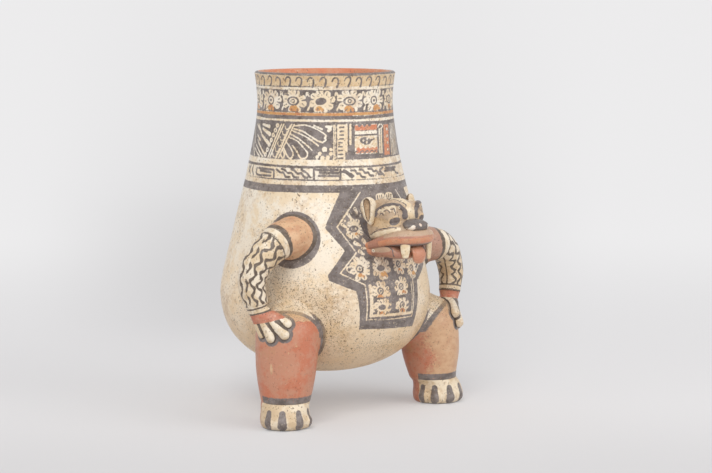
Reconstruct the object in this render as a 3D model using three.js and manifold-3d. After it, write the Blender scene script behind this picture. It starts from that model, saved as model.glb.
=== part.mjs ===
// A tripod pot of painted earthenware: a pear-shaped jar with a tall collar, carried on two hollow
// front legs and a hollow tail. A spotted cat's head stands out from the front, and its two arms loop
// from the shoulders down to the knees. Each leg and the tail hold a loose clay pellet that rattles.
//
// Units are millimetres and +Z is up. The head faces -Y, so the animal's left is +X. The shapes are
// laid out round the jar's own axis with the table at z = 0, and the finished group is then moved so
// that the origin lies under the centre of the pot's bounding box.

import * as THREE from "three";
import { mergeVertices } from "three/addons/utils/BufferGeometryUtils.js";
import Module from "manifold-3d";

const wasm = await Module();
wasm.setup();

// The jar
const RIM_HEIGHT = 330;
const RIM_RADIUS = 68.4;
const LIP_ROUND = 5; // height of the rounded top of the lip
const THROAT_DEPTH = 28; // how far below the rim the throat is narrowest
const THROAT_HEIGHT = RIM_HEIGHT - THROAT_DEPTH;
const THROAT_RADIUS = 66;
const THROAT_REACH = 50; // how far below the throat the neck stays nearly upright
const BELLY_HEIGHT = 115;
const BELLY_RADIUS = 103;
const BELLY_REACH = 24; // how far above the belly's widest line the wall stays nearly upright
const BASE_HEIGHT = 37;
const BASE_FULLNESS = 2.2; // exponent of the superellipse that rounds the base
const JAR_WALL = 6;
const BOWL_JOINT = 72; // the seams where the bowl, the coiled walls, the collar and the lip were luted
const BELLY_JOINT = 108;
const SHOULDER_JOINT = 146;
const COLLAR_JOINT = 221;
const NECK_DEPTH = 60;
const NECK_JOINT = RIM_HEIGHT - NECK_DEPTH;
const LIP_DEPTH = 10;
const LIP_JOINT = RIM_HEIGHT - LIP_DEPTH;
const LUTE = 0.3; // the gap kept at every seam
const JAR_SIDES = 40;

// The front legs and feet
const LEG_BEARING = 61; // degrees round from the head
const FOOT_STAND = 112; // from the jar's axis to the middle of the foot
const KNEE_STAND = 104.5;
const LEG_JOINT = 24; // the seam between foot and leg
const ANKLE_RADIUS = 23.2;
const KNEE_HEIGHT = 84;
const KNEE_RADIUS = 30;
const KNEE_TOP = 117;
const LEG_WALL = 5.5;
const LEG_FLOOR = 6; // thickness of the hollow's floor
const LEG_SIDES = 20;
const SOLE_RADIUS = 21.5;
const FOOT_FORWARD = 3; // how far the front of the foot swells past the ankle
const TOE_TURN = 30; // degrees that the toes turn from straight out towards the front
const TOE_COUNT = 4;
const TOE_RADIUS = 6.8;
const TOE_FAN = 34; // degrees between neighbouring toes
const TOE_TOP = 21;

// The slit in each hollow limb, which let the steam out in the firing
const SLIT_WIDTH = 4;
const SLIT_LENGTH = 30;
const SLIT_TURN = 112; // degrees round from straight out, towards the back
const TAIL_SLIT_LENGTH = 18;

// The tail that makes the third leg
const TAIL_STAND = 69;
const TAIL_FOOT_RADIUS = 16;
const TAIL_ROOT_RADIUS = 20;
const TAIL_TOP = 84;
const TAIL_FLOOR = 8;

// The loose pellets
const PELLET_RADIUS = 6.5;
const TAIL_PELLET_RADIUS = 5;

// The arms, from the shoulder to the wrist, and the hands
const SHOULDER_STAND = 91; // from the jar's axis
const SHOULDER_HEIGHT = 176;
const SHOULDER_RADIUS = 19.5;
const CUFF_RADIUS = 15.5;
const ELBOW_STAND = 133;
const ELBOW_HEIGHT = 137;
const ELBOW_RADIUS = 12.6;
const WRIST_HEIGHT = 117;
const WRIST_RADIUS = 11;
const ARM_SIDES = 16;
const ARM_STEPS = 12;
const PALM_RADIUS = 10;
const FINGER_RADIUS = 5.2;
const FINGER_TIP_RADIUS = 4;

// The two sides differ, because the pot was made by hand: one arm and knee sit lower on the jar
const SIDES = [
  { name: "right", across: -1, drop: 0, shoulderDrop: 0, armTurn: 0, fangDrop: 0 },
  { name: "left", across: 1, drop: 10, shoulderDrop: 18, armTurn: -4, fangDrop: 3 },
];

// The head, measured forward from the jar's axis and up from the underside of the upper jaw
const HEAD_ROOT = 70; // where the head's outline starts, inside the jar
const MUZZLE_REACH = 133; // front of the muzzle
const MOUTH_HEIGHT = 171;
const SKULL_RISE = 43;
const SKULL_HALF_WIDTH = 25.5;
const MUZZLE_HALF_WIDTH = 24;
const JAW_DEPTH = 13.5;
const HEAD_WALL = 12;
const HEAD_SIDES = 24;
const LIP_THICK = 2.8; // half the height of the lip's coil at the corners
const LIP_FRONT_THICK = 8.1;
const LIP_CORNER_DROP = 4.5; // how far the lip's corners hang below the upper jaw
const LIP_FRONT_RISE = 7.3;
const JAW_GAPE = 6; // how far the jaws part at the front
const NOSE_HALF_WIDTH = 14;
const NOSE_RISE = 18.5;
const NOSE_HALF_HEIGHT = 6;
const EAR_SPREAD = 27;
const EAR_RISE = 31;
const EAR_FORWARD = 94;
const EAR_HALF_HEIGHT = 13.5;
const EAR_HALF_WIDTH = 7.8;
const EAR_HALF_DEPTH = 5;
const EAR_RIM = 2.4; // thickness of the ear's edge
const EAR_TURN = 38; // degrees that the ear's cup turns outwards
const FANG_SPREAD = 15;
const FANG_LENGTH = 11.4;
const FANG_RADIUS = 4.3;
const TONGUE_HALF_WIDTH = 8;
const TONGUE_THICK = 3.2;
const TONGUE_DROP = 17;

const CREAM = new THREE.MeshStandardMaterial({ color: 0xe6d3b8, roughness: 0.62, metalness: 0 });
const DARK = new THREE.MeshStandardMaterial({ color: 0x6b615e, roughness: 0.6, metalness: 0 });
const RED = new THREE.MeshStandardMaterial({ color: 0xb9684c, roughness: 0.6, metalness: 0 });
const BUFF = new THREE.MeshStandardMaterial({ color: 0xc79a72, roughness: 0.62, metalness: 0 });
const CLAY = new THREE.MeshStandardMaterial({ color: 0xa9765a, roughness: 0.85, metalness: 0 });

const SLIVER = 0.02; // edges shorter than this are closed up after the cuts

const radians = THREE.MathUtils.degToRad;
const lerp = THREE.MathUtils.lerp;

// A point at a distance from the jar's axis and a bearing from the head, on one side of the animal.
function around(distance, bearing, z, across = 1) {
  const turn = radians(bearing);
  return new THREE.Vector3(across * distance * Math.sin(turn), -distance * Math.cos(turn), z);
}

// A closed geometry as a manifold-3d solid, turned right side out if its faces point inwards.
function solid(geometry, closeness = 1e-4) {
  const bare = new THREE.BufferGeometry();
  bare.setAttribute("position", geometry.getAttribute("position"));
  if (geometry.index) bare.setIndex(geometry.index);
  const merged = mergeVertices(bare, closeness);
  const corners = [];
  const index = merged.index.array;
  for (let i = 0; i < index.length; i += 3) {
    const [a, b, c] = [index[i], index[i + 1], index[i + 2]];
    if (a !== b && b !== c && c !== a) corners.push(a, b, c);
  }
  const build = (triVerts) =>
    new wasm.Manifold(
      new wasm.Mesh({
        numProp: 3,
        vertProperties: new Float32Array(merged.attributes.position.array),
        triVerts: new Uint32Array(triVerts),
      }),
    );
  const made = build(corners);
  return made.volume() < 0 ? build(corners.reverse()) : made;
}

// The faces of a manifold-3d solid as a three.js geometry.
function faces(shape) {
  const made = shape.getMesh();
  const geometry = new THREE.BufferGeometry();
  geometry.setAttribute("position", new THREE.BufferAttribute(made.vertProperties, made.numProp));
  geometry.setIndex(new THREE.BufferAttribute(made.triVerts, 1));
  return geometry;
}

// A manifold-3d solid as a named three.js mesh, without the slivers that a cut leaves.
function mesh(name, shape, material) {
  const geometry = faces(solid(faces(shape.simplify(SLIVER)), SLIVER));
  geometry.computeVertexNormals();
  const piece = new THREE.Mesh(geometry, material);
  piece.name = name;
  return piece;
}

// A skin over rings of points, closed at both ends by a fan.
function loft(rings) {
  const count = rings[0].length;
  const points = rings.flat();
  const index = [];
  for (let r = 0; r + 1 < rings.length; r++) {
    for (let i = 0; i < count; i++) {
      const j = (i + 1) % count;
      const [a, b] = [r * count + i, r * count + j];
      index.push(a, b, b + count, a, b + count, a + count);
    }
  }
  for (const [first, flip] of [[0, true], [(rings.length - 1) * count, false]]) {
    const centre = new THREE.Vector3();
    for (let i = 0; i < count; i++) centre.addScaledVector(points[first + i], 1 / count);
    points.push(centre);
    const hub = points.length - 1;
    for (let i = 0; i < count; i++) {
      const j = (i + 1) % count;
      index.push(hub, first + (flip ? j : i), first + (flip ? i : j));
    }
  }
  const geometry = new THREE.BufferGeometry().setFromPoints(points);
  geometry.setIndex(index);
  return solid(geometry);
}

// A ring round a centre, in the plane of two axes. Power 2 is an ellipse, and more is squarer.
function ring(centre, sides, axisA, halfA, axisB, halfB, power = 2) {
  const points = [];
  for (let i = 0; i < sides; i++) {
    const turn = (2 * Math.PI * i) / sides;
    const [c, s] = [Math.cos(turn), Math.sin(turn)];
    const a = halfA * Math.sign(c) * Math.abs(c) ** (2 / power);
    const b = halfB * Math.sign(s) * Math.abs(s) ** (2 / power);
    points.push(centre.clone().addScaledVector(axisA, a).addScaledVector(axisB, b));
  }
  return points;
}

// An ellipsoid, turned about the upright and then moved to its centre.
function ellipsoid(centre, halfX, halfY, halfZ, turn = 0) {
  const geometry = new THREE.SphereGeometry(1, 14, 10);
  geometry.rotateX(Math.PI / 2);
  geometry.scale(halfX, halfY, halfZ);
  geometry.rotateZ(radians(turn));
  geometry.translate(centre.x, centre.y, centre.z);
  return solid(geometry);
}

// A round-ended rod between two points, with its own radius at each end.
function rod(from, to, fromRadius, toRadius, sides = 8) {
  const along = to.clone().sub(from).normalize();
  const side = new THREE.Vector3(0, 0, 1).cross(along).normalize();
  const up = along.clone().cross(side);
  const rings = [];
  const ends = [[from, fromRadius, -1], [to, toRadius, 1]];
  for (const [end, radius, way] of ends) {
    const steps = [0, 35, 65].map(radians);
    if (way < 0) steps.reverse();
    for (const tilt of steps) {
      const centre = end.clone().addScaledVector(along, way * radius * Math.sin(tilt));
      const size = radius * Math.cos(tilt);
      rings.push(ring(centre, sides, side, size, up, size));
    }
  }
  return loft(rings);
}

// The radius of the jar's wall at a height, on the outside or set in from it.
function wallRadius(z, inset = 0) {
  if (z <= BELLY_HEIGHT) {
    const depth = BELLY_HEIGHT - BASE_HEIGHT - inset;
    const share = Math.min(1, (BELLY_HEIGHT - z) / depth);
    return (BELLY_RADIUS - inset) * (1 - share ** BASE_FULLNESS) ** (1 / BASE_FULLNESS);
  }
  if (z >= THROAT_HEIGHT) {
    const share = (z - THROAT_HEIGHT) / (RIM_HEIGHT - THROAT_HEIGHT);
    return THROAT_RADIUS + (RIM_RADIUS - THROAT_RADIUS) * share ** 2 - inset;
  }
  const curve = new THREE.CubicBezierCurve(
    new THREE.Vector2(BELLY_RADIUS, BELLY_HEIGHT),
    new THREE.Vector2(BELLY_RADIUS, BELLY_HEIGHT + BELLY_REACH),
    new THREE.Vector2(THROAT_RADIUS, THROAT_HEIGHT - THROAT_REACH),
    new THREE.Vector2(THROAT_RADIUS, THROAT_HEIGHT),
  );
  let [low, high] = [0, 1];
  for (let i = 0; i < 30; i++) {
    const middle = (low + high) / 2;
    if (curve.getPoint(middle).y < z) low = middle;
    else high = middle;
  }
  return curve.getPoint(low).x - inset;
}

// Points up the wall between two heights, closer together where the base turns under.
function wallLine(from, to, rows, inset) {
  const line = [];
  for (let i = 0; i <= rows; i++) {
    const z = lerp(from, to, i / rows);
    line.push(new THREE.Vector2(wallRadius(z, inset), z));
  }
  return line;
}

// The rounded base, from its pole out to a height, by equal turns.
function baseLine(to, rows, inset) {
  const depth = BELLY_HEIGHT - BASE_HEIGHT - inset;
  const last = Math.acos((BELLY_HEIGHT - to) / depth);
  const line = [];
  for (let i = 0; i < rows; i++) {
    const z = BELLY_HEIGHT - depth * Math.cos((last * i) / rows);
    line.push(new THREE.Vector2(i === 0 ? 0 : wallRadius(z, inset), z));
  }
  line.push(new THREE.Vector2(wallRadius(to, inset), to));
  return line;
}

function lathe(line) {
  const geometry = new THREE.LatheGeometry(line, JAR_SIDES);
  geometry.rotateX(Math.PI / 2);
  return solid(geometry);
}

function closedLathe(line) {
  return lathe([...line, line[0].clone()]);
}

// The whole jar as a filled shape, grown by the seam, for cutting what is luted to it.
function jarEnvelope(grow) {
  const up = [...baseLine(BOWL_JOINT, 8, -grow), ...wallLine(BOWL_JOINT, LIP_JOINT, 26, -grow).slice(1)];
  return lathe([...up, new THREE.Vector2(0, LIP_JOINT)]);
}

// One coiled stretch of the wall, between the seam below it and the seam above it.
function coiledWall(from, to, rows) {
  return closedLathe([
    ...wallLine(from + LUTE, to, rows, 0),
    ...wallLine(from + LUTE, to, rows - 1, JAR_WALL).reverse(),
  ]);
}

function makeJar() {
  const bowl = lathe([...baseLine(BOWL_JOINT, 6, 0), ...baseLine(BOWL_JOINT, 5, JAR_WALL).reverse()]);
  const lipBase = LIP_JOINT + LUTE;
  const rounded = [];
  for (let i = 0; i <= 6; i++) {
    const turn = (Math.PI * i) / 6;
    const middle = RIM_RADIUS - JAR_WALL / 2;
    rounded.push(
      new THREE.Vector2(
        middle + (JAR_WALL / 2) * Math.cos(turn),
        RIM_HEIGHT - LIP_ROUND + LIP_ROUND * Math.sin(turn),
      ),
    );
  }
  const lip = closedLathe([
    new THREE.Vector2(wallRadius(lipBase), lipBase),
    ...rounded,
    new THREE.Vector2(wallRadius(lipBase, JAR_WALL), lipBase),
  ]);
  return [
    mesh("base_bowl", bowl, CREAM),
    mesh("lower_belly_wall", coiledWall(BOWL_JOINT, BELLY_JOINT, 3), CREAM),
    mesh("upper_belly_wall", coiledWall(BELLY_JOINT, SHOULDER_JOINT, 3), CREAM),
    mesh("shoulder_wall", coiledWall(SHOULDER_JOINT, COLLAR_JOINT, 4), CREAM),
    mesh("lower_collar", coiledWall(COLLAR_JOINT, NECK_JOINT, 3), CREAM),
    mesh("upper_collar", coiledWall(NECK_JOINT, LIP_JOINT, 3), CREAM),
    mesh("rim_lip", lip, RED),
  ];
}

// How far out, and how wide, a front leg is at a height.
function legAt(z, side) {
  const [knee, top] = [KNEE_HEIGHT - side.drop, KNEE_TOP - side.drop];
  const stand = lerp(FOOT_STAND, KNEE_STAND, Math.min(1, z / knee));
  if (z >= knee) return { stand, radius: KNEE_RADIUS * Math.sqrt(1 - ((z - knee) / (top - knee)) ** 2) };
  const share = Math.max(0, (z - LEG_JOINT) / (knee - LEG_JOINT));
  return { stand, radius: lerp(ANKLE_RADIUS, KNEE_RADIUS, share * (2 - share)) };
}

// A leg's outer skin, from a height to its rounded top. A negative growth gives the hollow.
function legShape(side, from, grow) {
  const out = around(1, LEG_BEARING, 0, side.across);
  const along = new THREE.Vector3(0, 0, 1).cross(out);
  const knee = KNEE_HEIGHT - side.drop;
  const reach = KNEE_TOP - side.drop - knee + grow;
  const rings = [];
  const add = (z, radius) => {
    const stand = lerp(FOOT_STAND, KNEE_STAND, Math.min(1, z / knee));
    const centre = out.clone().multiplyScalar(stand).setZ(z);
    rings.push(ring(centre, LEG_SIDES, out, radius, along, radius));
  };
  for (let i = 0; i <= 5; i++) {
    const z = lerp(from, knee, i / 5);
    add(z, legAt(z, side).radius + grow);
  }
  for (const tilt of [22, 42, 60, 76].map(radians)) {
    add(knee + reach * Math.sin(tilt), (KNEE_RADIUS + grow) * Math.cos(tilt));
  }
  return loft(rings);
}

// A slit through a hollow limb's wall, cut inwards from one side.
function slit(centre, bearing, across, middle, length, reach) {
  const geometry = new THREE.BoxGeometry(SLIT_WIDTH, reach, length);
  geometry.translate(0, -reach / 2, 0);
  geometry.rotateZ(across * radians(bearing));
  geometry.translate(centre.x, centre.y, middle);
  return solid(geometry);
}

function makeLeg(side, jar) {
  const hollowFloor = LEG_JOINT + LEG_FLOOR;
  const hollow = legShape(side, hollowFloor, -LEG_WALL);
  const middle = (LEG_JOINT + KNEE_HEIGHT - side.drop) / 2 + 2;
  const centre = around(legAt(middle, side).stand, LEG_BEARING, 0, side.across);
  const vent = slit(centre, LEG_BEARING + SLIT_TURN, side.across, middle, SLIT_LENGTH, 2 * KNEE_RADIUS);
  const shape = legShape(side, LEG_JOINT, 0).subtract(jar).subtract(hollow).subtract(vent);
  return mesh(side.name + "_leg", shape, RED);
}

// A foot: a low pad under the ankle, swelling forwards, with its row of toes.
function makeFoot(side) {
  const top = LEG_JOINT - LUTE;
  const toes = around(1, LEG_BEARING - TOE_TURN, 0, side.across);
  const beside = new THREE.Vector3(0, 0, 1).cross(toes);
  const middle = around(FOOT_STAND, LEG_BEARING, 0, side.across);
  const rows = [
    [0, SOLE_RADIUS, 0.6],
    [3, SOLE_RADIUS + 2, 0.9],
    [9, SOLE_RADIUS + 2.6, 1],
    [15, SOLE_RADIUS + 1.6, 0.75],
    [top, 0, 0],
  ];
  const ankle = legAt(LEG_JOINT, side);
  const rings = rows.map(([z, radius, forward]) => {
    const last = z === top;
    const home = last ? around(ankle.stand, LEG_BEARING, z, side.across) : middle.clone().setZ(z);
    const centre = home.addScaledVector(toes, forward * FOOT_FORWARD);
    const size = last ? ankle.radius : radius;
    return ring(centre, LEG_SIDES, toes, last ? size : size + forward * FOOT_FORWARD * 0.5, beside, size);
  });
  let shape = loft(rings);
  for (let i = 0; i < TOE_COUNT; i++) {
    const fan = (i - (TOE_COUNT - 1) / 2) * TOE_FAN;
    const way = around(1, LEG_BEARING - TOE_TURN + fan, 0, side.across);
    const low = middle.clone().addScaledVector(way, SOLE_RADIUS - 0.5).addScaledVector(toes, FOOT_FORWARD * 0.6);
    const high = low.clone().addScaledVector(way, -5);
    shape = shape.add(rod(low.setZ(TOE_RADIUS + 0.6), high.setZ(TOE_TOP - TOE_RADIUS), TOE_RADIUS, TOE_RADIUS * 0.7));
  }
  return mesh(side.name + "_foot", shape, CREAM);
}

// The tail, a straight hollow leg under the back of the belly.
function tailShape(from, grow) {
  const rings = [];
  for (let i = 0; i <= 4; i++) {
    const z = lerp(from, TAIL_TOP + grow, i / 4);
    const radius = lerp(TAIL_FOOT_RADIUS, TAIL_ROOT_RADIUS, z / TAIL_TOP) + grow;
    const foot = z < 1 ? radius - 1.5 : radius;
    const centre = new THREE.Vector3(0, TAIL_STAND, z);
    const [x, y] = [new THREE.Vector3(1, 0, 0), new THREE.Vector3(0, 1, 0)];
    rings.push(ring(centre, LEG_SIDES, x, foot, y, foot));
    if (i === 0 && from < 1) rings.push(ring(centre.clone().setZ(3), LEG_SIDES, x, radius, y, radius));
  }
  return loft(rings);
}

function makeTail(jar) {
  const hollow = tailShape(TAIL_FLOOR, -LEG_WALL);
  const centre = new THREE.Vector3(0, TAIL_STAND, 0);
  const vent = slit(centre, 0, 1, TAIL_FLOOR + TAIL_SLIT_LENGTH / 2 + 4, TAIL_SLIT_LENGTH, 2 * TAIL_ROOT_RADIUS);
  const shape = tailShape(0, 0).subtract(jar).subtract(hollow).subtract(vent);
  return mesh("tail_leg", shape, RED);
}

function makePellet(name, centre, radius) {
  const geometry = new THREE.IcosahedronGeometry(radius, 2);
  geometry.translate(centre.x, centre.y, centre.z);
  return mesh(name, solid(geometry), CLAY);
}

// The arm's route from inside the shoulder to the wrist, and the arm's radius at each point. A stop
// is a share of the way out to the elbow, a bearing, a share of the way down to the elbow, a radius
// and the share of the lower shoulder's drop that reaches it.
function armRoute(side) {
  const stops = [
    [-0.45, 58, 0.1, SHOULDER_RADIUS, 1],
    [0, 60, 0, SHOULDER_RADIUS, 1],
    [0.333, 63, 0.013, SHOULDER_RADIUS * 0.94, 0.85],
    [0.643, 67, 0.205, CUFF_RADIUS, 0.3],
    [0.881, 70.5, 0.538, CUFF_RADIUS * 0.9, 0],
    [1, 72, 1, ELBOW_RADIUS, 0],
    [0.94, 70.5, 1, WRIST_RADIUS, 0],
  ];
  const points = stops.map(([out, bearing, down, radius, shoulder], i) => {
    const wrist = i === stops.length - 1;
    const height = wrist ? WRIST_HEIGHT : lerp(SHOULDER_HEIGHT, ELBOW_HEIGHT, down);
    const drop = lerp(side.drop, side.shoulderDrop + side.drop * 0.1, shoulder);
    return around(lerp(SHOULDER_STAND, ELBOW_STAND, out), bearing + side.armTurn, height - drop, side.across);
  });
  return { curve: new THREE.CatmullRomCurve3(points), radii: stops.map((stop) => stop[3]) };
}

// The arm's radius at a share of its route.
function armRadius(radii, share) {
  const at = share * (radii.length - 1);
  const i = Math.min(radii.length - 2, Math.floor(at));
  return lerp(radii[i], radii[i + 1], at - i);
}

// The axes square to the arm: one away from the jar, and one across.
function armAxes(curve, share) {
  const along = curve.getTangent(share);
  const out = curve.getPoint(share).setZ(0).normalize();
  const level = new THREE.Vector3(0, 0, 1).cross(out);
  const away = level.cross(along).normalize();
  return { along, away, beside: along.clone().cross(away) };
}

function makeArm(side, jar) {
  const { curve, radii } = armRoute(side);
  const rings = [];
  for (let i = 0; i <= ARM_STEPS; i++) {
    const share = i / ARM_STEPS;
    const { beside, away } = armAxes(curve, share);
    const radius = armRadius(radii, share);
    rings.push(ring(curve.getPoint(share), ARM_SIDES, away, radius * 0.95, beside, radius * 1.05));
  }
  return mesh(side.name + "_arm", loft(rings).subtract(jar), BUFF);
}

// The hand: the wrist's stub, a palm and four fingers spread over the knee.
function makeHand(side, jar) {
  const { curve, radii } = armRoute(side);
  const { along, beside, away } = armAxes(curve, 1);
  const wristRadius = radii[radii.length - 1];
  const wrist = curve.getPoint(1).addScaledVector(along, LUTE);
  const at = ([out, bearing, up]) => {
    const height = WRIST_HEIGHT + up * PALM_RADIUS - side.drop;
    return around(ELBOW_STAND + out * PALM_RADIUS, bearing + side.armTurn, height, side.across);
  };
  const stub = [0, 0.4, 0.9].map((step, i) => {
    const radius = wristRadius * [1, 0.98, 0.8][i];
    const centre = wrist.clone().addScaledVector(along, step * PALM_RADIUS);
    return ring(centre, ARM_SIDES, away, radius * 0.95, beside, radius * 1.05);
  });
  let shape = loft(stub);
  shape = shape.add(ellipsoid(at([-0.6, 68.5, -1.1]), PALM_RADIUS, PALM_RADIUS * 1.2, PALM_RADIUS));
  const tips = [[-0.3, 71.5, -2.2], [0.05, 66, -2.8], [-0.05, 60.5, -2.65], [-0.45, 57, -1.7]];
  const knuckles = [[-0.4, 71, -1.3], [-0.2, 68.5, -1.5], [-0.3, 65, -1.4], [-0.55, 63.5, -1]];
  tips.forEach((tip, i) => {
    shape = shape.add(rod(at(knuckles[i]), at(tip), FINGER_RADIUS, FINGER_TIP_RADIUS));
  });
  shape = shape.subtract(legShape(side, LEG_JOINT, LUTE)).subtract(jar);
  return mesh(side.name + "_hand", largest(shape), CREAM);
}

// The head's cross-sections, from inside the jar to the front: distance forward, half width,
// underside and top. Each lies at a share of the head's length and has a share of its rise.
function headLine(grow) {
  const rows = [
    [0, 1, 0.82],
    [0.3, 1, 0.88],
    [0.52, 1, 0.97],
    [0.68, 1, 0.98],
    [0.77, 0.97, 0.92],
    [0.82, 0.93, 0.78],
    [0.845, 0.91, 0.6],
    [0.9, 0.86, 0.46],
    [0.96, 0.72, 0.38],
    [1, 0.5, 0.3],
  ];
  const under = MOUTH_HEIGHT - grow;
  return rows.map(([along, wide, high], i) => [
    lerp(HEAD_ROOT, MUZZLE_REACH, along) + (i === rows.length - 1 ? grow : 0),
    (along > 0.8 ? MUZZLE_HALF_WIDTH : SKULL_HALF_WIDTH) * wide + grow,
    under + (i === rows.length - 1 ? 2 : 0),
    MOUTH_HEIGHT + SKULL_RISE * high + grow,
  ]);
}

// A body along -Y from cross-sections: distance forward, half width, underside and top.
function forwardLoft(rows, power) {
  const x = new THREE.Vector3(1, 0, 0);
  const z = new THREE.Vector3(0, 0, 1);
  return loft(
    rows.map(([forward, half, under, top]) => {
      const centre = new THREE.Vector3(0, -forward, (under + top) / 2);
      return ring(centre, HEAD_SIDES, x, half, z, (top - under) / 2, power);
    }),
  );
}

// The skull with its two brows.
function headShape(grow) {
  let shape = forwardLoft(headLine(grow), 2.7);
  const length = MUZZLE_REACH - HEAD_ROOT;
  for (const across of [-1, 1]) {
    const spread = SKULL_HALF_WIDTH * 0.6;
    const brow = new THREE.Vector3(across * spread, -(HEAD_ROOT + length * 0.65), MOUTH_HEIGHT + SKULL_RISE * 0.7);
    const [halfX, halfY] = [SKULL_HALF_WIDTH * 0.35, length * 0.17];
    shape = shape.add(ellipsoid(brow, halfX + grow, halfY + grow, SKULL_RISE * 0.25 + grow));
  }
  return shape;
}

// The lower jaw, nearly shut along the sides and gaping at the front.
function jawShape(grow) {
  const length = MUZZLE_REACH - HEAD_ROOT;
  const rows = [
    [0, 0.94, 0.26, 0],
    [0.29, 0.98, 0.15, 0],
    [0.45, 1, 0.04, 0],
    [0.73, 0.98, 0, 0],
    [0.8, 0.94, 0.02, 0.25],
    [0.86, 0.85, 0.04, 0.7],
    [0.905, 0.7, 0.1, 0.95],
    [0.935, 0.4, 0.2, 1],
  ];
  const under = MOUTH_HEIGHT - JAW_DEPTH - grow;
  const top = MOUTH_HEIGHT - 3 * LUTE + grow;
  return forwardLoft(
    rows.map(([along, wide, low, gape]) => [
      HEAD_ROOT + length * along,
      MUZZLE_HALF_WIDTH * wide + grow,
      under + JAW_DEPTH * low,
      top - JAW_GAPE * gape,
    ]),
    3,
  );
}

// The coil of clay that makes the upper lip, bent round the muzzle.
function lipShape(grow) {
  const half = MUZZLE_HALF_WIDTH;
  const length = MUZZLE_REACH - HEAD_ROOT;
  const rows = [
    [0.94, 0.16, 0, 0],
    [0.97, 0.32, 0.19, 0.15],
    [0.94, 0.49, 0.48, 0.34],
    [0.89, 0.67, 0.74, 0.47],
    [0.77, 0.83, 0.9, 0.75],
    [0.52, 0.945, 0.99, 0.96],
    [0, 0.99, 1, 1],
  ];
  const low = MOUTH_HEIGHT - LIP_CORNER_DROP;
  const high = MOUTH_HEIGHT + LIP_FRONT_RISE;
  const side = rows.map(([wide, along, rise, thick]) => ({
    point: new THREE.Vector3(-half * wide, -(HEAD_ROOT + length * along), lerp(low, high, rise)),
    size: lerp(LIP_THICK, LIP_FRONT_THICK, thick),
  }));
  const other = side.slice(0, -1).reverse().map(({ point, size }) => ({
    point: new THREE.Vector3(-point.x, point.y, point.z),
    size,
  }));
  const stops = [...side, ...other];
  const curve = new THREE.CatmullRomCurve3(stops.map(({ point }) => point));
  const up = new THREE.Vector3(0, 0, 1);
  const rings = [];
  const steps = 2 * (stops.length - 1);
  for (let i = 0; i <= steps; i++) {
    const beside = curve.getTangent(i / steps).cross(up).normalize();
    const at = Math.min(stops.length - 2, Math.floor(i / 2));
    const size = lerp(stops[at].size, stops[at + 1].size, i / 2 - at) + grow;
    rings.push(ring(curve.getPoint(i / steps), 10, beside, size * 0.85, up, size));
  }
  return loft(rings);
}

function largest(shape) {
  return shape.decompose().sort((a, b) => b.volume() - a.volume())[0];
}

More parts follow.
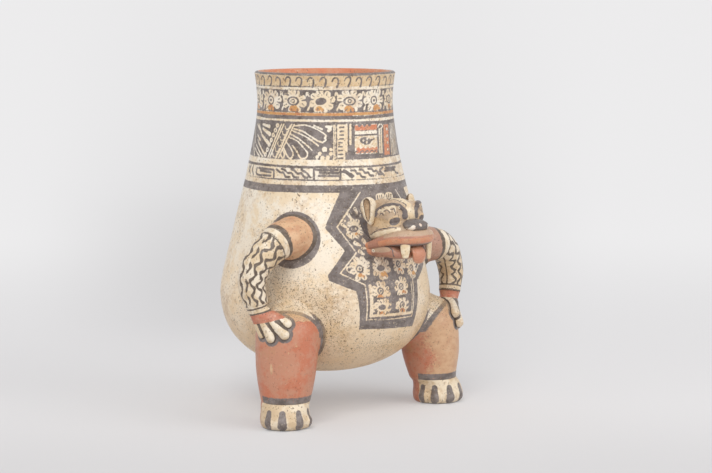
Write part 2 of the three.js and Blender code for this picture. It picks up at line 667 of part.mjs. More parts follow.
function makeHead(jar) {
  const pieces = [];
  const length = MUZZLE_REACH - HEAD_ROOT;
  const head = headShape(0);
  const grown = headShape(LUTE);
  const hollow = forwardLoft(headLine(-HEAD_WALL).slice(0, 4), 2.4);
  const throat = new THREE.Vector3(0, -(HEAD_ROOT + length * 0.6), MOUTH_HEIGHT + HEAD_WALL / 3);
  const throatHole = ellipsoid(throat, length * 0.12, length * 0.1, HEAD_WALL + 3);
  const lip = lipShape(0).subtract(grown).subtract(jar);
  const lipGrown = lipShape(LUTE);
  const noseSeat = new THREE.Vector3(0, -(MUZZLE_REACH - 3.5), MOUTH_HEIGHT + NOSE_RISE);
  const nose = ellipsoid(noseSeat, NOSE_HALF_WIDTH, NOSE_HALF_WIDTH * 0.66, NOSE_HALF_HEIGHT);
  const jaw = jawShape(0).subtract(jar).subtract(lipGrown);
  pieces.push(mesh("head_shell", head.subtract(jar).subtract(hollow).subtract(throatHole), BUFF));
  pieces.push(mesh("upper_lip", largest(lip), RED));
  pieces.push(mesh("nose", largest(nose.subtract(grown).subtract(lipGrown)), DARK));
  pieces.push(mesh("lower_jaw", largest(jaw), RED));

  for (const { name, across, fangDrop } of SIDES) {
    const root = new THREE.Vector3(across * FANG_SPREAD, -(MUZZLE_REACH - 1.5), MOUTH_HEIGHT + FANG_RADIUS);
    const tip = root.clone().setZ(MOUTH_HEIGHT - FANG_LENGTH - fangDrop);
    const x = new THREE.Vector3(1, 0, 0);
    const y = new THREE.Vector3(0, 1, 0);
    const fang = loft([
      ring(root, 12, x, FANG_RADIUS, y, FANG_RADIUS * 0.78),
      ring(tip.clone().setZ(tip.z + 1.5), 12, x, FANG_RADIUS * 0.66, y, FANG_RADIUS * 0.54),
      ring(tip, 12, x, FANG_RADIUS * 0.42, y, FANG_RADIUS * 0.34),
    ]);
    const fangCut = fang.subtract(lipGrown).subtract(grown).subtract(jawShape(LUTE));
    pieces.push(mesh(name + "_fang", largest(fangCut), CREAM));

    const seat = new THREE.Vector3(across * EAR_SPREAD, -EAR_FORWARD, MOUTH_HEIGHT + EAR_RISE);
    const turn = across * EAR_TURN;
    const high = EAR_HALF_HEIGHT * 0.33;
    const upper = seat.clone().setZ(seat.z + high);
    const lower = seat.clone().setZ(seat.z - high * 1.6);
    const cup = upper.clone().add(around(EAR_HALF_DEPTH * 0.8, EAR_TURN, -EAR_RIM, across));
    const [cupHalf, cupHeight] = [EAR_HALF_WIDTH - EAR_RIM, EAR_HALF_HEIGHT * 0.7 - EAR_RIM + 2];
    const ear = ellipsoid(upper, EAR_HALF_WIDTH, EAR_HALF_DEPTH, EAR_HALF_HEIGHT * 0.67, turn)
      .add(ellipsoid(lower, EAR_HALF_WIDTH * 0.6, EAR_HALF_DEPTH * 0.85, EAR_HALF_HEIGHT * 0.55, turn))
      .subtract(ellipsoid(cup, cupHalf, EAR_HALF_DEPTH * 0.8, cupHeight, turn))
      .subtract(grown)
      .subtract(jar);
    pieces.push(mesh(name + "_ear", largest(ear), CREAM));
  }

  const tongueLine = [
    [HEAD_ROOT + length * 0.6, MOUTH_HEIGHT - JAW_GAPE / 2],
    [HEAD_ROOT + length * 0.8, MOUTH_HEIGHT - JAW_GAPE / 2],
    [MUZZLE_REACH - 3, MOUTH_HEIGHT - JAW_GAPE * 0.6],
    [MUZZLE_REACH + 1, MOUTH_HEIGHT - TONGUE_DROP * 0.45],
    [MUZZLE_REACH + 0.5, MOUTH_HEIGHT - TONGUE_DROP],
  ];
  const tongueCurve = new THREE.CatmullRomCurve3(
    tongueLine.map(([forward, z]) => new THREE.Vector3(0, -forward, z)),
  );
  const sideways = new THREE.Vector3(1, 0, 0);
  const tongueRings = [];
  for (let i = 0; i <= 8; i++) {
    const up = sideways.clone().cross(tongueCurve.getTangent(i / 8)).normalize();
    const narrow = i === 8 ? 0.55 : 1;
    tongueRings.push(
      ring(tongueCurve.getPoint(i / 8), 12, sideways, TONGUE_HALF_WIDTH * narrow, up, TONGUE_THICK * narrow),
    );
  }
  const tongue = loft(tongueRings).subtract(jawShape(LUTE)).subtract(grown).subtract(lipGrown);
  pieces.push(mesh("tongue", largest(tongue), RED));
  return pieces;
}

const pot = new THREE.Group();
const jarCut = jarEnvelope(LUTE);
pot.add(...makeJar());
for (const side of SIDES) {
  pot.add(makeLeg(side, jarCut), makeFoot(side), makeArm(side, jarCut), makeHand(side, jarCut));
  const floor = LEG_JOINT + LEG_FLOOR + PELLET_RADIUS + LUTE;
  const pelletSeat = around(FOOT_STAND, LEG_BEARING, floor, side.across);
  pot.add(makePellet(side.name + "_leg_pellet", pelletSeat, PELLET_RADIUS));
}
pot.add(makeTail(jarCut));
const tailPelletSeat = new THREE.Vector3(0, TAIL_STAND, TAIL_FLOOR + TAIL_PELLET_RADIUS + LUTE);
pot.add(makePellet("tail_pellet", tailPelletSeat, TAIL_PELLET_RADIUS));
pot.add(...makeHead(jarCut));

const box = new THREE.Box3().setFromObject(pot);
pot.position.set(-(box.min.x + box.max.x) / 2, -(box.min.y + box.max.y) / 2, 0);

export default pot;
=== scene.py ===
import functools
import math

import bmesh
import bpy
import numpy as np
from mathutils import Matrix, Vector, noise


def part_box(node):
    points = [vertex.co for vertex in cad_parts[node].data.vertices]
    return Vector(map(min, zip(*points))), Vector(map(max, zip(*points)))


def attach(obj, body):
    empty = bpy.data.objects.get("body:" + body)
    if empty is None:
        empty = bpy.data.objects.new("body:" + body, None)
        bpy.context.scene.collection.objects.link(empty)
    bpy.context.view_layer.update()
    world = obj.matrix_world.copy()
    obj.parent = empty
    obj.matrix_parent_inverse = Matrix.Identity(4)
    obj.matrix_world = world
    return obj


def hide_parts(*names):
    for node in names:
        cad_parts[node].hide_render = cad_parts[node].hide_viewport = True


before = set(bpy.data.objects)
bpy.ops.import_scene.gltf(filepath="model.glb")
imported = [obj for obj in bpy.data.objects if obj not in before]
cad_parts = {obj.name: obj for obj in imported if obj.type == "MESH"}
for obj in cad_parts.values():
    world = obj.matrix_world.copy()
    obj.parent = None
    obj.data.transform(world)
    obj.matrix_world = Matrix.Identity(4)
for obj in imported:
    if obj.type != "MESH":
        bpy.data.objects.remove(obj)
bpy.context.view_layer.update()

# The camera stands to the front and to the left of the pot, a little above it, with a long lens.
# The pot is left of the picture's centre, so the camera looks past it on the right.
VIEW_BEARING, CAMERA_TILT, CAMERA_PAN = -41, 6.667, 0.8165
CAMERA_DISTANCE, CAMERA_HEIGHT = 2.1193, 0.4153
rim_low, rim_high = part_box("rim_lip")
jar_axis = Vector(((rim_low[0] + rim_high[0]) / 2, (rim_low[1] + rim_high[1]) / 2, 0))
view_turn = math.radians(VIEW_BEARING)


def placed(name, data):
    made = bpy.data.objects.new(name, data)
    bpy.context.scene.collection.objects.link(made)
    return made


def from_axis(turn, distance, height):
    """A point in metres at a distance from the jar's axis. A turn of 0 is in front of the head."""
    reach = Vector((math.sin(turn), -math.cos(turn), 0)) * distance
    return jar_axis + reach + Vector((0, 0, height))


camera_data = bpy.data.cameras.new("camera")
camera_data.sensor_width = 36
camera_data.lens = 110
camera_data.clip_end = 50
camera = placed("camera", camera_data)
camera.location = from_axis(view_turn, CAMERA_DISTANCE, CAMERA_HEIGHT)
camera.rotation_euler = (math.radians(90 - CAMERA_TILT), 0, view_turn - math.radians(CAMERA_PAN))
bpy.context.scene.camera = camera
bpy.context.scene.view_settings.view_transform = "Standard"

# The studio: a pale grey floor that sweeps up into a pale wall, two large soft lamps aimed at the
# middle of the pot, and the light that comes back from the room's own white walls.
studio = bpy.data.worlds.new("studio")
bpy.context.scene.world = studio
studio.use_nodes = True
studio.node_tree.nodes["Background"].inputs["Color"].default_value = (0.93, 0.935, 0.95, 1)
studio.node_tree.nodes["Background"].inputs["Strength"].default_value = 0.74
for name, bearing, distance, height, size, power, tint in (
    ("key_lamp", -14, 2, 1.9, 1.3, 32, (1, 0.985, 0.965)),
    ("fill_lamp", 62, 2.1, 1.2, 1.6, 17, (1, 0.99, 0.98)),
):
    lamp_data = bpy.data.lights.new(name, "AREA")
    lamp_data.shape = "SQUARE"
    lamp_data.size = size
    lamp_data.energy = power
    lamp_data.color = tint
    lamp = placed(name, lamp_data)
    lamp.location = from_axis(view_turn + math.radians(bearing), distance, height)
    aim = jar_axis + Vector((0, 0, 0.17)) - lamp.location
    lamp.rotation_euler = aim.to_track_quat("-Z", "Y").to_euler()

SWEEP_START, SWEEP_END, SWEEP_ROUND, SWEEP_HALF, WALL_TOP = -4, 2.2, 1.6, 7, 6
sweep = bmesh.new()
sweep_line = [(SWEEP_START, 0)]
for step in range(13):
    turn = math.radians(90 * step / 12)
    sweep_line.append((SWEEP_END + SWEEP_ROUND * math.sin(turn), SWEEP_ROUND - SWEEP_ROUND * math.cos(turn)))
sweep_line.append((SWEEP_END + SWEEP_ROUND, WALL_TOP))
sweep_verts = [sweep.verts.new((-SWEEP_HALF, y, z)) for y, z in sweep_line]
sweep_edges = [sweep.edges.new(pair) for pair in zip(sweep_verts, sweep_verts[1:])]
swept = bmesh.ops.extrude_edge_only(sweep, edges=sweep_edges)["geom"]
swept_verts = [v for v in swept if isinstance(v, bmesh.types.BMVert)]
bmesh.ops.translate(sweep, verts=swept_verts, vec=(2 * SWEEP_HALF, 0, 0))
bmesh.ops.rotate(sweep, verts=sweep.verts, cent=(0, 0, 0), matrix=Matrix.Rotation(view_turn, 3, "Z"))
bmesh.ops.recalc_face_normals(sweep, faces=sweep.faces)
sweep_mesh = bpy.data.meshes.new("studio_floor")
sweep.to_mesh(sweep_mesh)
sweep.free()
sweep_mesh.shade_smooth()


class Shading:
    """Builds the nodes of one material. An input is a value or another node's output."""

    def __init__(self, name):
        self.material = bpy.data.materials.new(name)
        self.material.use_nodes = True
        self.tree = self.material.node_tree
        self.shader = self.tree.nodes["Principled BSDF"]

    def fill(self, made, inputs):
        for key, value in inputs.items():
            if isinstance(value, bpy.types.NodeSocket):
                self.tree.links.new(value, made.inputs[key])
            else:
                made.inputs[key].default_value = value

    def node(self, kind, inputs={}, **settings):
        made = self.tree.nodes.new("ShaderNode" + kind)
        for key, value in settings.items():
            setattr(made, key, value)
        self.fill(made, inputs)
        return made

    def maths(self, operation, a, b, c=0):
        return self.node("Math", {0: a, 1: b, 2: c}, operation=operation).outputs[0]

    def plus(self, a, b, share=1):
        """Adds a share of b to a."""
        return self.maths("MULTIPLY_ADD", b, share, a)

    def times(self, a, b):
        return self.maths("MULTIPLY", a, b)

    def ramp(self, value, low, high, start=0, end=1):
        """Eases from start to end as a value goes from low to high."""
        values = {0: value, 1: low, 2: high, 3: start, 4: end}
        return self.node("MapRange", values, interpolation_type="SMOOTHSTEP").outputs[0]

    def blend(self, share, a, b):
        """One colour over another. A colour is red, green and blue, or another node's output."""
        a, b = (c if isinstance(c, bpy.types.NodeSocket) else (*c, 1) for c in (a, b))
        return self.node("Mix", {0: share, 6: a, 7: b}, data_type="RGBA").outputs[2]

    def place(self, **mapping):
        place = self.node("TexCoord").outputs["Object"]
        return self.node("Mapping", {"Vector": place, **mapping}).outputs[0]

    def grain(self, size, detail=4, stretch=(1, 1, 1), roughness=0.55):
        """Noise with features about as large as a size in millimetres."""
        values = {"Scale": 1000 / size, "Detail": detail, "Roughness": roughness}
        return self.node("TexNoise", {"Vector": self.place(Scale=stretch), **values}).outputs[0]


# The paper behind the pot is lit by itself: only the camera and reflections see it that bright, and
# its glow also lightens the pot's shadow on the floor. A painted shadow greys it just behind the pot,
# and painted shade darkens the floor close to the camera.
LIT_PAPER, NEAR_SHADED_PAPER = (0.72, 0.71, 0.715), (0.6, 0.592, 0.596)
BRIGHT_PAPER, SHADOWED_PAPER = (0.868, 0.862, 0.868), (0.665, 0.658, 0.664)
paper = Shading("studio_paper")
aside, behind = paper.node("SeparateXYZ", {0: paper.place(Rotation=(0, 0, -view_turn))}).outputs[:2]
# Painted shade on the floor close to the camera.
near_shade = paper.ramp(behind, -0.35, 0.05, 0.8, 0)
spread = paper.maths("ABSOLUTE", paper.plus(aside, 0.04), 0)
spread = paper.maths("DIVIDE", spread, paper.plus(behind, 2.12))
# The pot's painted shadow on the paper just behind it.
shade = paper.times(paper.ramp(spread, 0.04, 0.14, 1, 0), paper.ramp(behind, 0.1, 0.6))
shade = paper.times(shade, paper.ramp(behind, 0.9, 3.6, 1, 0.1))
shade = paper.maths("MAXIMUM", shade, near_shade)
glow = paper.node("Emission", {0: paper.blend(shade, BRIGHT_PAPER, SHADOWED_PAPER)}).outputs[0]
light_path = paper.node("LightPath").outputs
seen = paper.maths("MAXIMUM", light_path["Is Camera Ray"], light_path["Is Glossy Ray"])
share = paper.times(seen, paper.ramp(behind, -0.1, 1.5, 0.24, 0.92))
lit_tone = paper.blend(near_shade, LIT_PAPER, NEAR_SHADED_PAPER)
paper.fill(paper.shader, {"Roughness": 0.9, "Specular IOR Level": 0.1, "Base Color": lit_tone})
paper_mix = paper.node("MixShader", {0: share, 1: paper.shader.outputs[0], 2: glow})
paper.fill(paper.tree.nodes["Material Output"], {"Surface": paper_mix.outputs[0]})
sweep_mesh.materials.append(paper.material)
studio_floor = placed("studio_floor", sweep_mesh)

# The jar is coiled clay, scraped and burnished by hand, so its wall is a few tenths out of true.
# Everything is modelled in millimetres round the jar's axis, and made metres as it is finished.
BELLY_Z, BELLY_R, BELLY_REACH, BASE_Z, BASE_FULLNESS = 115, 103, 24, 37, 2.2
THROAT_Z, THROAT_R, THROAT_REACH, RIM_Z, RIM_R = 302, 66, 50, 330, 68.4
JAR_WALL, COLLAR_Z, WALL_WOBBLE = 6, 221, (0.7, 45)

bend = np.linspace(0, 1, 400)
bend_weights = ((1 - bend) ** 3, 3 * (1 - bend) ** 2 * bend, 3 * (1 - bend) * bend**2, bend**3)
bend_stops = (BELLY_Z, BELLY_Z + BELLY_REACH, THROAT_Z - THROAT_REACH, THROAT_Z)
shoulder_z = sum(w * z for w, z in zip(bend_weights, bend_stops))
shoulder_r = sum(w * r for w, r in zip(bend_weights, (BELLY_R, BELLY_R, THROAT_R, THROAT_R)))


def wall_radius(z, inset=0):
    """The jar's radius at a height, or at many heights, on the outside or set in from it."""
    z = np.asarray(z, float)
    share = np.clip((BELLY_Z - z) / (BELLY_Z - BASE_Z - inset), 0, 1)
    base = (BELLY_R - inset) * (1 - share**BASE_FULLNESS) ** (1 / BASE_FULLNESS)
    throat = THROAT_R + (RIM_R - THROAT_R) * (np.clip(z - THROAT_Z, 0, None) / (RIM_Z - THROAT_Z)) ** 2
    upper = np.where(z > THROAT_Z, throat, np.interp(z, shoulder_z, shoulder_r)) - inset
    return np.where(z < BELLY_Z, base, upper)


def spun(profile, columns):
    """A skin turned round the jar's axis from a line of (radius, height)."""
    bm = bmesh.new()
    verts = [bm.verts.new((r, 0, z)) for r, z in profile]
    edges = [bm.edges.new(pair) for pair in zip(verts, verts[1:])]
    bmesh.ops.spin(
        bm, geom=verts + edges, cent=(0, 0, 0), axis=(0, 0, 1), angle=2 * math.pi,
        steps=columns, use_merge=True, use_duplicate=False,
    )
    bmesh.ops.remove_doubles(bm, verts=bm.verts, dist=0.01)
    bmesh.ops.recalc_face_normals(bm, faces=bm.faces)
    return bm


def hand_wobble(bm, depth, scale):
    """Moves a surface in and out by the slow unevenness that a hand leaves."""
    for vert in bm.verts:
        push = noise.noise(vert.co / scale) * depth
        out = Vector((vert.co.x, vert.co.y, 0))
        if out.length > 1:
            vert.co += out.normalized() * push * min(1, out.length / 40)


def finish_piece(name, bm, material, nodes):
    """Makes the finished mesh in metres, in the pot's place, hangs it on the pot and hides the CAD parts it
    stands for.
    """
    bmesh.ops.scale(bm, verts=bm.verts, vec=(0.001, 0.001, 0.001))
    bmesh.ops.translate(bm, verts=bm.verts, vec=jar_axis)
    mesh = bpy.data.meshes.new(name)
    bm.to_mesh(mesh)
    bm.free()
    mesh.shade_smooth()
    mesh.materials.append(material)
    piece = placed(name, mesh)
    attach(piece, "pot")
    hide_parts(*nodes)
    return piece


STAIN, SMEAR_AND_SHADE, SPECK, RUBBED = (0.46, 0.28, 0.13), (0.54, 0.36, 0.18), (0.11, 0.065, 0.04), (0.8, 0.7, 0.58)


def slip_material(name, ground, layers=(), low=None, speckle=0.8, sheen=0.42, soiled=False):
    """Burnished slip: a mottled ground, worn paint over it and dark specks all through.
    A layer is the attribute that holds its edge, its two tones and how much of it has worn off."""
    slip = Shading(name)
    mottle = slip.plus(slip.grain(26, 7), slip.grain(5, 5), 0.5)
    colour = slip.blend(slip.ramp(mottle, 0.66, 0.86), *ground)
    if low:
        height = slip.node("SeparateXYZ", {0: slip.place()}).outputs[2]
        reach = slip.plus(height, slip.grain(45, 6), 0.09)
        colour = slip.blend(slip.ramp(reach, 0.07, 0.25, 0.85, 0), colour, low)
    stain = slip.plus(slip.grain(34, 8, roughness=0.7), slip.grain(3, 4), 0.4)
    colour = slip.blend(slip.ramp(stain, 0.7, 0.9, 0, 0.55), colour, STAIN)
    edge_noise = slip.plus(slip.grain(2.2, 3), -0.5)
    chipping = slip.plus(slip.grain(1.8, 5, roughness=0.65), slip.grain(14, 4), 0.3)
    for attribute, tone, other_tone, wear in layers:
        edge = slip.node("Attribute", attribute_name=attribute).outputs["Fac"]
        share = slip.ramp(slip.plus(edge, edge_noise, 1.3), -0.24, 0.24, 1, 0)
        share = slip.times(share, slip.ramp(chipping, 0.72, 0.86, 1, 1 - 3 * wear))
        tones = slip.blend(slip.ramp(slip.grain(8, 7, (1, 1, 1.4)), 0.32, 0.72), tone, other_tone)
        colour = slip.blend(share, colour, tones)
    specks = slip.ramp(slip.grain(1.9, 2), 0.6, 0.68, 0, speckle)
    specks = slip.times(specks, slip.ramp(slip.grain(24, 4), 0.38, 0.54, 0.25, 1))
    # Where the slip is dirty and shaded, a brown smear darkens it near the joins: partly dirt and dense
    # specks, partly painted shade.
    if soiled:
        soil = slip.node("Attribute", attribute_name="soil").outputs["Fac"]
        smear_and_shade = slip.times(soil, slip.grain(13, 7, (1, 1, 0.7), 0.7))
        colour = slip.blend(slip.ramp(smear_and_shade, 0.2, 0.66, 0, 0.6), colour, SMEAR_AND_SHADE)
        dense = slip.times(soil, slip.ramp(slip.grain(1.05, 3), 0.56, 0.63, 0, 1.1))
        specks = slip.maths("MAXIMUM", specks, dense)
    colour = slip.blend(specks, colour, SPECK)
    rubbed = slip.ramp(slip.grain(2.2, 6, roughness=0.75), 0.56, 0.74, 0, 0.32)
    roughness = slip.ramp(slip.grain(7, 5), 0.3, 0.7, sheen - 0.1, sheen + 0.1)
    relief = slip.plus(slip.grain(6, 5), slip.grain(1.1, 3), 0.4)
    bump = slip.node("Bump", {"Strength": 0.32, "Distance": 0.0006, "Height": relief}).outputs[0]
    slip.fill(slip.shader, {"Base Color": slip.blend(rubbed, colour, RUBBED), "Roughness": roughness})
    slip.fill(slip.shader, {"Specular IOR Level": 0.4, "Normal": bump})
    return slip.material


def clay_points(piece):
    """A finished piece's points in millimetres round the jar's axis, in rows of x, y and z."""
    places = np.empty(len(piece.data.vertices) * 3, np.float32)
    piece.data.vertices.foreach_get("co", places)
    return (places.reshape(-1, 3).astype(float) - np.array(jar_axis)) * 1000


def paint(piece, **layers):
    """Stores each layer of paint as how far a point lies outside its edge, in millimetres.
    A layer that the piece's slip has and that isn't given here covers nothing."""
    for part in piece.data.materials[0].node_tree.nodes:
        if part.bl_idname == "ShaderNodeAttribute" and part.attribute_name != "soil":
            layers.setdefault(part.attribute_name, np.full(len(piece.data.vertices), 9.0))
    for name, values in layers.items():
        layer = piece.data.attributes.new(name, "FLOAT", "POINT")
        layer.data.foreach_set("value", np.clip(values, -9, 9).astype(np.float32))


def capsule(u, v, start, end, radius, end_radius=None):
    """How far points lie outside a round-ended stroke, in millimetres and negative inside it."""
    end_radius = radius if end_radius is None else end_radius
    run, rise = end[0] - start[0], end[1] - start[1]
    share = ((u - start[0]) * run + (v - start[1]) * rise) / np.maximum(run**2 + rise**2, 1e-9)
    share = np.clip(share, 0, 1)
    reach = np.hypot(u - start[0] - share * run, v - start[1] - share * rise)
    return reach - radius - (end_radius - radius) * share


def bent(points):
    """Points on a smooth line through a few given ones."""
    points = [np.array(p, float) for p in points]
    ends = [2 * points[0] - points[1]] + points + [2 * points[-1] - points[-2]]
    line = []
    for p0, p1, p2, p3 in zip(ends, ends[1:], ends[2:], ends[3:]):
        for t in (0, 0.25, 0.5, 0.75):
            bow = 2 * p1 + (p2 - p0) * t + (2 * p0 - 5 * p1 + 4 * p2 - p3) * t * t
            line.append((bow + (3 * p1 - p0 - 3 * p2 + p3) * t**3) / 2)
    return line + [points[-1]]


def over(*shapes):
    """Paint that covers every one of a few shapes."""
    return functools.reduce(np.minimum, shapes)


def within(*shapes):
    """Paint that covers only what the shapes share."""
    return functools.reduce(np.maximum, shapes)


def bare(layer, *shapes):
    """Leaves shapes out of a layer of paint."""
    return np.maximum(layer, -over(*shapes))


def stroke(u, v, points, width, end_width=None, bowed=True):
    """A line of the brush through points. A bowed one bends smoothly, and the rest have corners."""
    points = bent(points) if bowed else points
    widths = np.linspace(width, width if end_width is None else end_width, len(points)) / 2
    return over(*[capsule(u, v, *piece) for piece in zip(points, points[1:], widths, widths[1:])])


def patch(u, v, points):
    """A filled outline with corners."""
    inside = np.zeros(u.shape, bool)
    for (x0, y0), (x1, y1) in zip(points, points[1:] + points[:1]):
        rise = y1 - y0 if y1 != y0 else 1e-9
        inside ^= ((y0 > v) != (y1 > v)) & (u < (x1 - x0) * (v - y0) / rise + x0)
    reach = stroke(u, v, points + points[:1], 0, bowed=False)
    return np.where(inside, -reach, reach)


def oval(u, v, centre, half, tilt=0):
    c, s = math.cos(math.radians(tilt)), math.sin(math.radians(tilt))
    x, y = u - centre[0], v - centre[1]
    return (np.hypot((x * c + y * s) / half[0], (y * c - x * s) / half[1]) - 1) * min(half)


def block(u, v, centre, half):
    return within(np.abs(u - centre[0]) - half[0], np.abs(v - centre[1]) - half[1])


def turned_from(turn, middle, whole=360):
    """How many degrees a turn is from a middle one, on a circle or on each of its equal parts."""
    return (turn - middle + whole / 2) % whole - whole / 2


def sway(turn, seed, size):
    """The slow up and down of a line that was painted round the jar by hand."""
    dice = np.random.default_rng(seed)
    total = 0
    for waves in (2, 3, 5, 8, 13, 21, 34):
        total = total + dice.normal() * np.sin(waves * np.radians(turn) + dice.uniform(0, 6.28)) / waves**0.6
    return total * size


def band(turn, z, low, high, seed):
    """A stripe right round the jar between two heights."""
    return within(low + sway(turn, seed, 0.22) - z, z - high - sway(turn, seed + 50, 0.22))


def flower_face(u, v, seed, wide, tall, eye):
    """A flower with an eye: where its cream petals lie, its dark eye and its orange patch."""
    dice = np.random.default_rng(seed)
    flower = oval(u, v, (0, 0), (wide * 0.64, tall * 0.64))
    lean = dice.uniform(0, 30)
    curls = []
    for turn in range(0, 360, 45):
        way = math.radians(turn + lean + dice.uniform(-6, 6))
        reach = dice.uniform(0.68, 0.82)
        tip = (wide * reach * math.cos(way), tall * reach * math.sin(way))
        flower = over(flower, capsule(u, v, (tip[0] * 0.5, tip[1] * 0.5), tip, wide * 0.2, wide * 0.27))
        way += math.radians(22.5)
        notch = (wide * 0.6 * math.cos(way), tall * 0.6 * math.sin(way))
        flower = bare(flower, capsule(u, v, notch, (notch[0] * 1.9, notch[1] * 1.9), 0.4, 1.4))
        curls.append((*tip, dice.uniform(-50, 50)))
    tilt = dice.uniform(-12, 12)
    size = wide / 10.5

    def egg(across, up, half_wide, half_tall, tilt=0):
        return oval(u, v, (across, up), (half_wide * size, half_tall * size), tilt)

    if eye == "solid":
        dark = egg(-1, 0, 4.3, 2.7, tilt)
    elif eye == "almond":
        dark = over(np.abs(egg(-1, 0, 4.4, 2.9, tilt)) - 0.7, np.abs(egg(-1, 0, 1.2, 1.3)) - 0.55)
    else:
        dark = over(np.abs(egg(-1, 0, 3, 3)) - 0.75, egg(-1, 0, 1.3, 1.1))
    for tip_u, tip_v, swing in curls:
        way = math.atan2(tip_v, tip_u) + math.radians(swing)
        end = (tip_u + 1.9 * size * math.cos(way), tip_v + 1.9 * size * math.sin(way))
        dark = over(dark, capsule(u, v, (tip_u * 0.9, tip_v * 0.9), end, 0.55, 0.3))
    shift, spread = dice.uniform(-3, 1.5) * size, dice.uniform(0.55, 1.05)
    orange = oval(u, v, (shift, -5.4 * size), (3.4 * spread * size, 2.4 * spread * size), 20)
    small = (1.8 * spread * size, 1.9 * spread * size)
    return flower, dark, over(orange, oval(u, v, (shift + 3.2 * size, -6.6 * size), small))


CREAM, TAN = (0.84, 0.76, 0.635), (0.79, 0.645, 0.455)
GREY, DARK = (0.24, 0.205, 0.192), (0.12, 0.097, 0.086)
ORANGE, RUST = (0.62, 0.34, 0.12), (0.52, 0.21, 0.1)
RED, ROSE, EARTH = (0.5, 0.17, 0.1), (0.53, 0.25, 0.165), (0.75, 0.54, 0.32)

# The jar's body, from the base up to the foot of the collar, inside and out. Its columns lie
# closer together at the front, where the painting under the head is fine.
BASE_STEPS, INNER_STEPS, CROWDING = 78, 15, 0.42
body_line = [(0, BASE_Z)]
for step in range(1, BASE_STEPS):
    z = BELLY_Z - (BELLY_Z - BASE_Z) * math.cos(math.radians(90 * step / BASE_STEPS))
    body_line.append((float(wall_radius(z)), z))
for z in np.linspace(BELLY_Z, COLLAR_Z, 96):
    body_line.append((float(wall_radius(z)), float(z)))
for z in np.linspace(COLLAR_Z, BELLY_Z, 12):
    body_line.append((float(wall_radius(z, JAR_WALL)), float(z)))
for step in range(INNER_STEPS - 1, -1, -1):
    z = BELLY_Z - (BELLY_Z - BASE_Z - JAR_WALL) * math.cos(math.radians(90 * step / INNER_STEPS))
    body_line.append((float(wall_radius(z, JAR_WALL)) if step else 0, z))
body = spun(body_line, 440)
for vert in body.verts:
    turn = math.atan2(vert.co.x, -vert.co.y)
    radius = math.hypot(vert.co.x, vert.co.y)
    turn -= CROWDING * math.sin(turn)
    vert.co = (radius * math.sin(turn), -radius * math.cos(turn), vert.co.z)
hand_wobble(body, *WALL_WOBBLE)
painted_body = slip_material(
    "painted_body", (CREAM, TAN), (("orange", ORANGE, RUST, 0.25), ("dark", GREY, DARK, 0.2)), EARTH,
    soiled=True,
)
body_nodes = ["base_bowl", "lower_belly_wall", "upper_belly_wall", "shoulder_wall"]
jar_body = finish_piece("jar_body", body, painted_body, body_nodes)

# The bib under the head: a broad dark outline with a cream line inside it, and within that rows
# of flowers with eyes on a dark ground.
BIB_EDGE = [
    (-38.5, 226), (-63, 186), (-48, 164.5), (-68, 142), (-67.5, 137.5), (-43.5, 127), (-39, 90),
    (29.5, 87), (35, 131), (60, 143.5), (45, 164.5), (62, 186), (38, 226),
]
BIB_LINE = [
    (-23, 218), (-51.5, 186.5), (-37, 162.5), (-56, 144), (-33.5, 132.5), (-33, 99), (24, 97.5), (27, 133),
    (44, 145.5), (36, 163), (50, 186), (23, 218),
]
BIB_STRIP = [(-28.5, 131), (-28.5, 103), (22, 101.5), (23.5, 131)]
BIB_STRIP_WIDTHS = (3.6, 2.6, 1.1)
BIB_FACES = (
    (-35.5, 147.5, 11, 11.5, "ring"), (-13, 147, 11, 12, "solid"), (9.5, 149, 9.5, 10.5, "ring"),
    (-17, 126, 10, 9.5, "ring"), (8.5, 128, 9.5, 9.5, "ring"), (-16, 110.5, 10.5, 7, "solid"),
    (8.5, 110.5, 9.5, 7, "ring"), (29, 143.5, 9.5, 10, "ring"), (-34.5, 184.5, 9, 10, "almond"),
    (34.5, 184.5, 9, 10, "almond"),
)
BIB_LEAVES = (
    (-46, 188.5, -42.5, 186, 1.7), (-42.5, 179.5, -39.5, 176, 1.7), (-38.5, 198, -36.5, 194, 1.8),
    (-36.5, 171.5, -32, 169, 2.2), (-31, 203, -29.5, 198.5, 1.7), (-33.5, 163.5, -29.5, 160.5, 2),
    (-28, 173.5, -25, 169, 2), (-26, 196, -24, 191.5, 1.8), (-30, 166.5, -26, 166, 1.4),
    (-44.5, 192, -41.5, 192.5, 1.2), (-31.5, 156.5, -28.5, 154, 1.5),
)
BIB_BARS = (
    (-22, 163, -26, 137, 3), (1, 161, 0, 137, 2.4), (-4.5, 137, -5.5, 104, 2), (-28, 119, 22, 119.5, 1.4),
)
BIB_CURL = [(43.5, 149), (47.5, 150), (49, 146.5), (46, 144.5), (45, 146.5)]
x, y, z = clay_points(jar_body).T
turn = np.degrees(np.arctan2(x, -y))
u = np.radians(turn) * wall_radius(z)
dark = bare(patch(u, z, BIB_EDGE) + sway(turn, 5, 0.35), stroke(u, z, BIB_LINE, 1.3, bowed=False))
for start, end, width in zip(BIB_STRIP, BIB_STRIP[1:], BIB_STRIP_WIDTHS):
    dark = bare(dark, capsule(u, z, start, end, width / 2))
orange = np.full(u.shape, 9.0)
bars = over(*[capsule(u, z, (x0, z0), (x1, z1), width / 2) for x0, z0, x1, z1, width in BIB_BARS])
for seed, (across, up, *face) in enumerate(BIB_FACES):
    flower, eye_line, blush = flower_face(u - across, z - up, 40 + seed, *face)
    flower = bare(flower, bars)
    dark = over(bare(dark, flower), eye_line)
    orange = over(orange, within(blush, flower - 0.5))
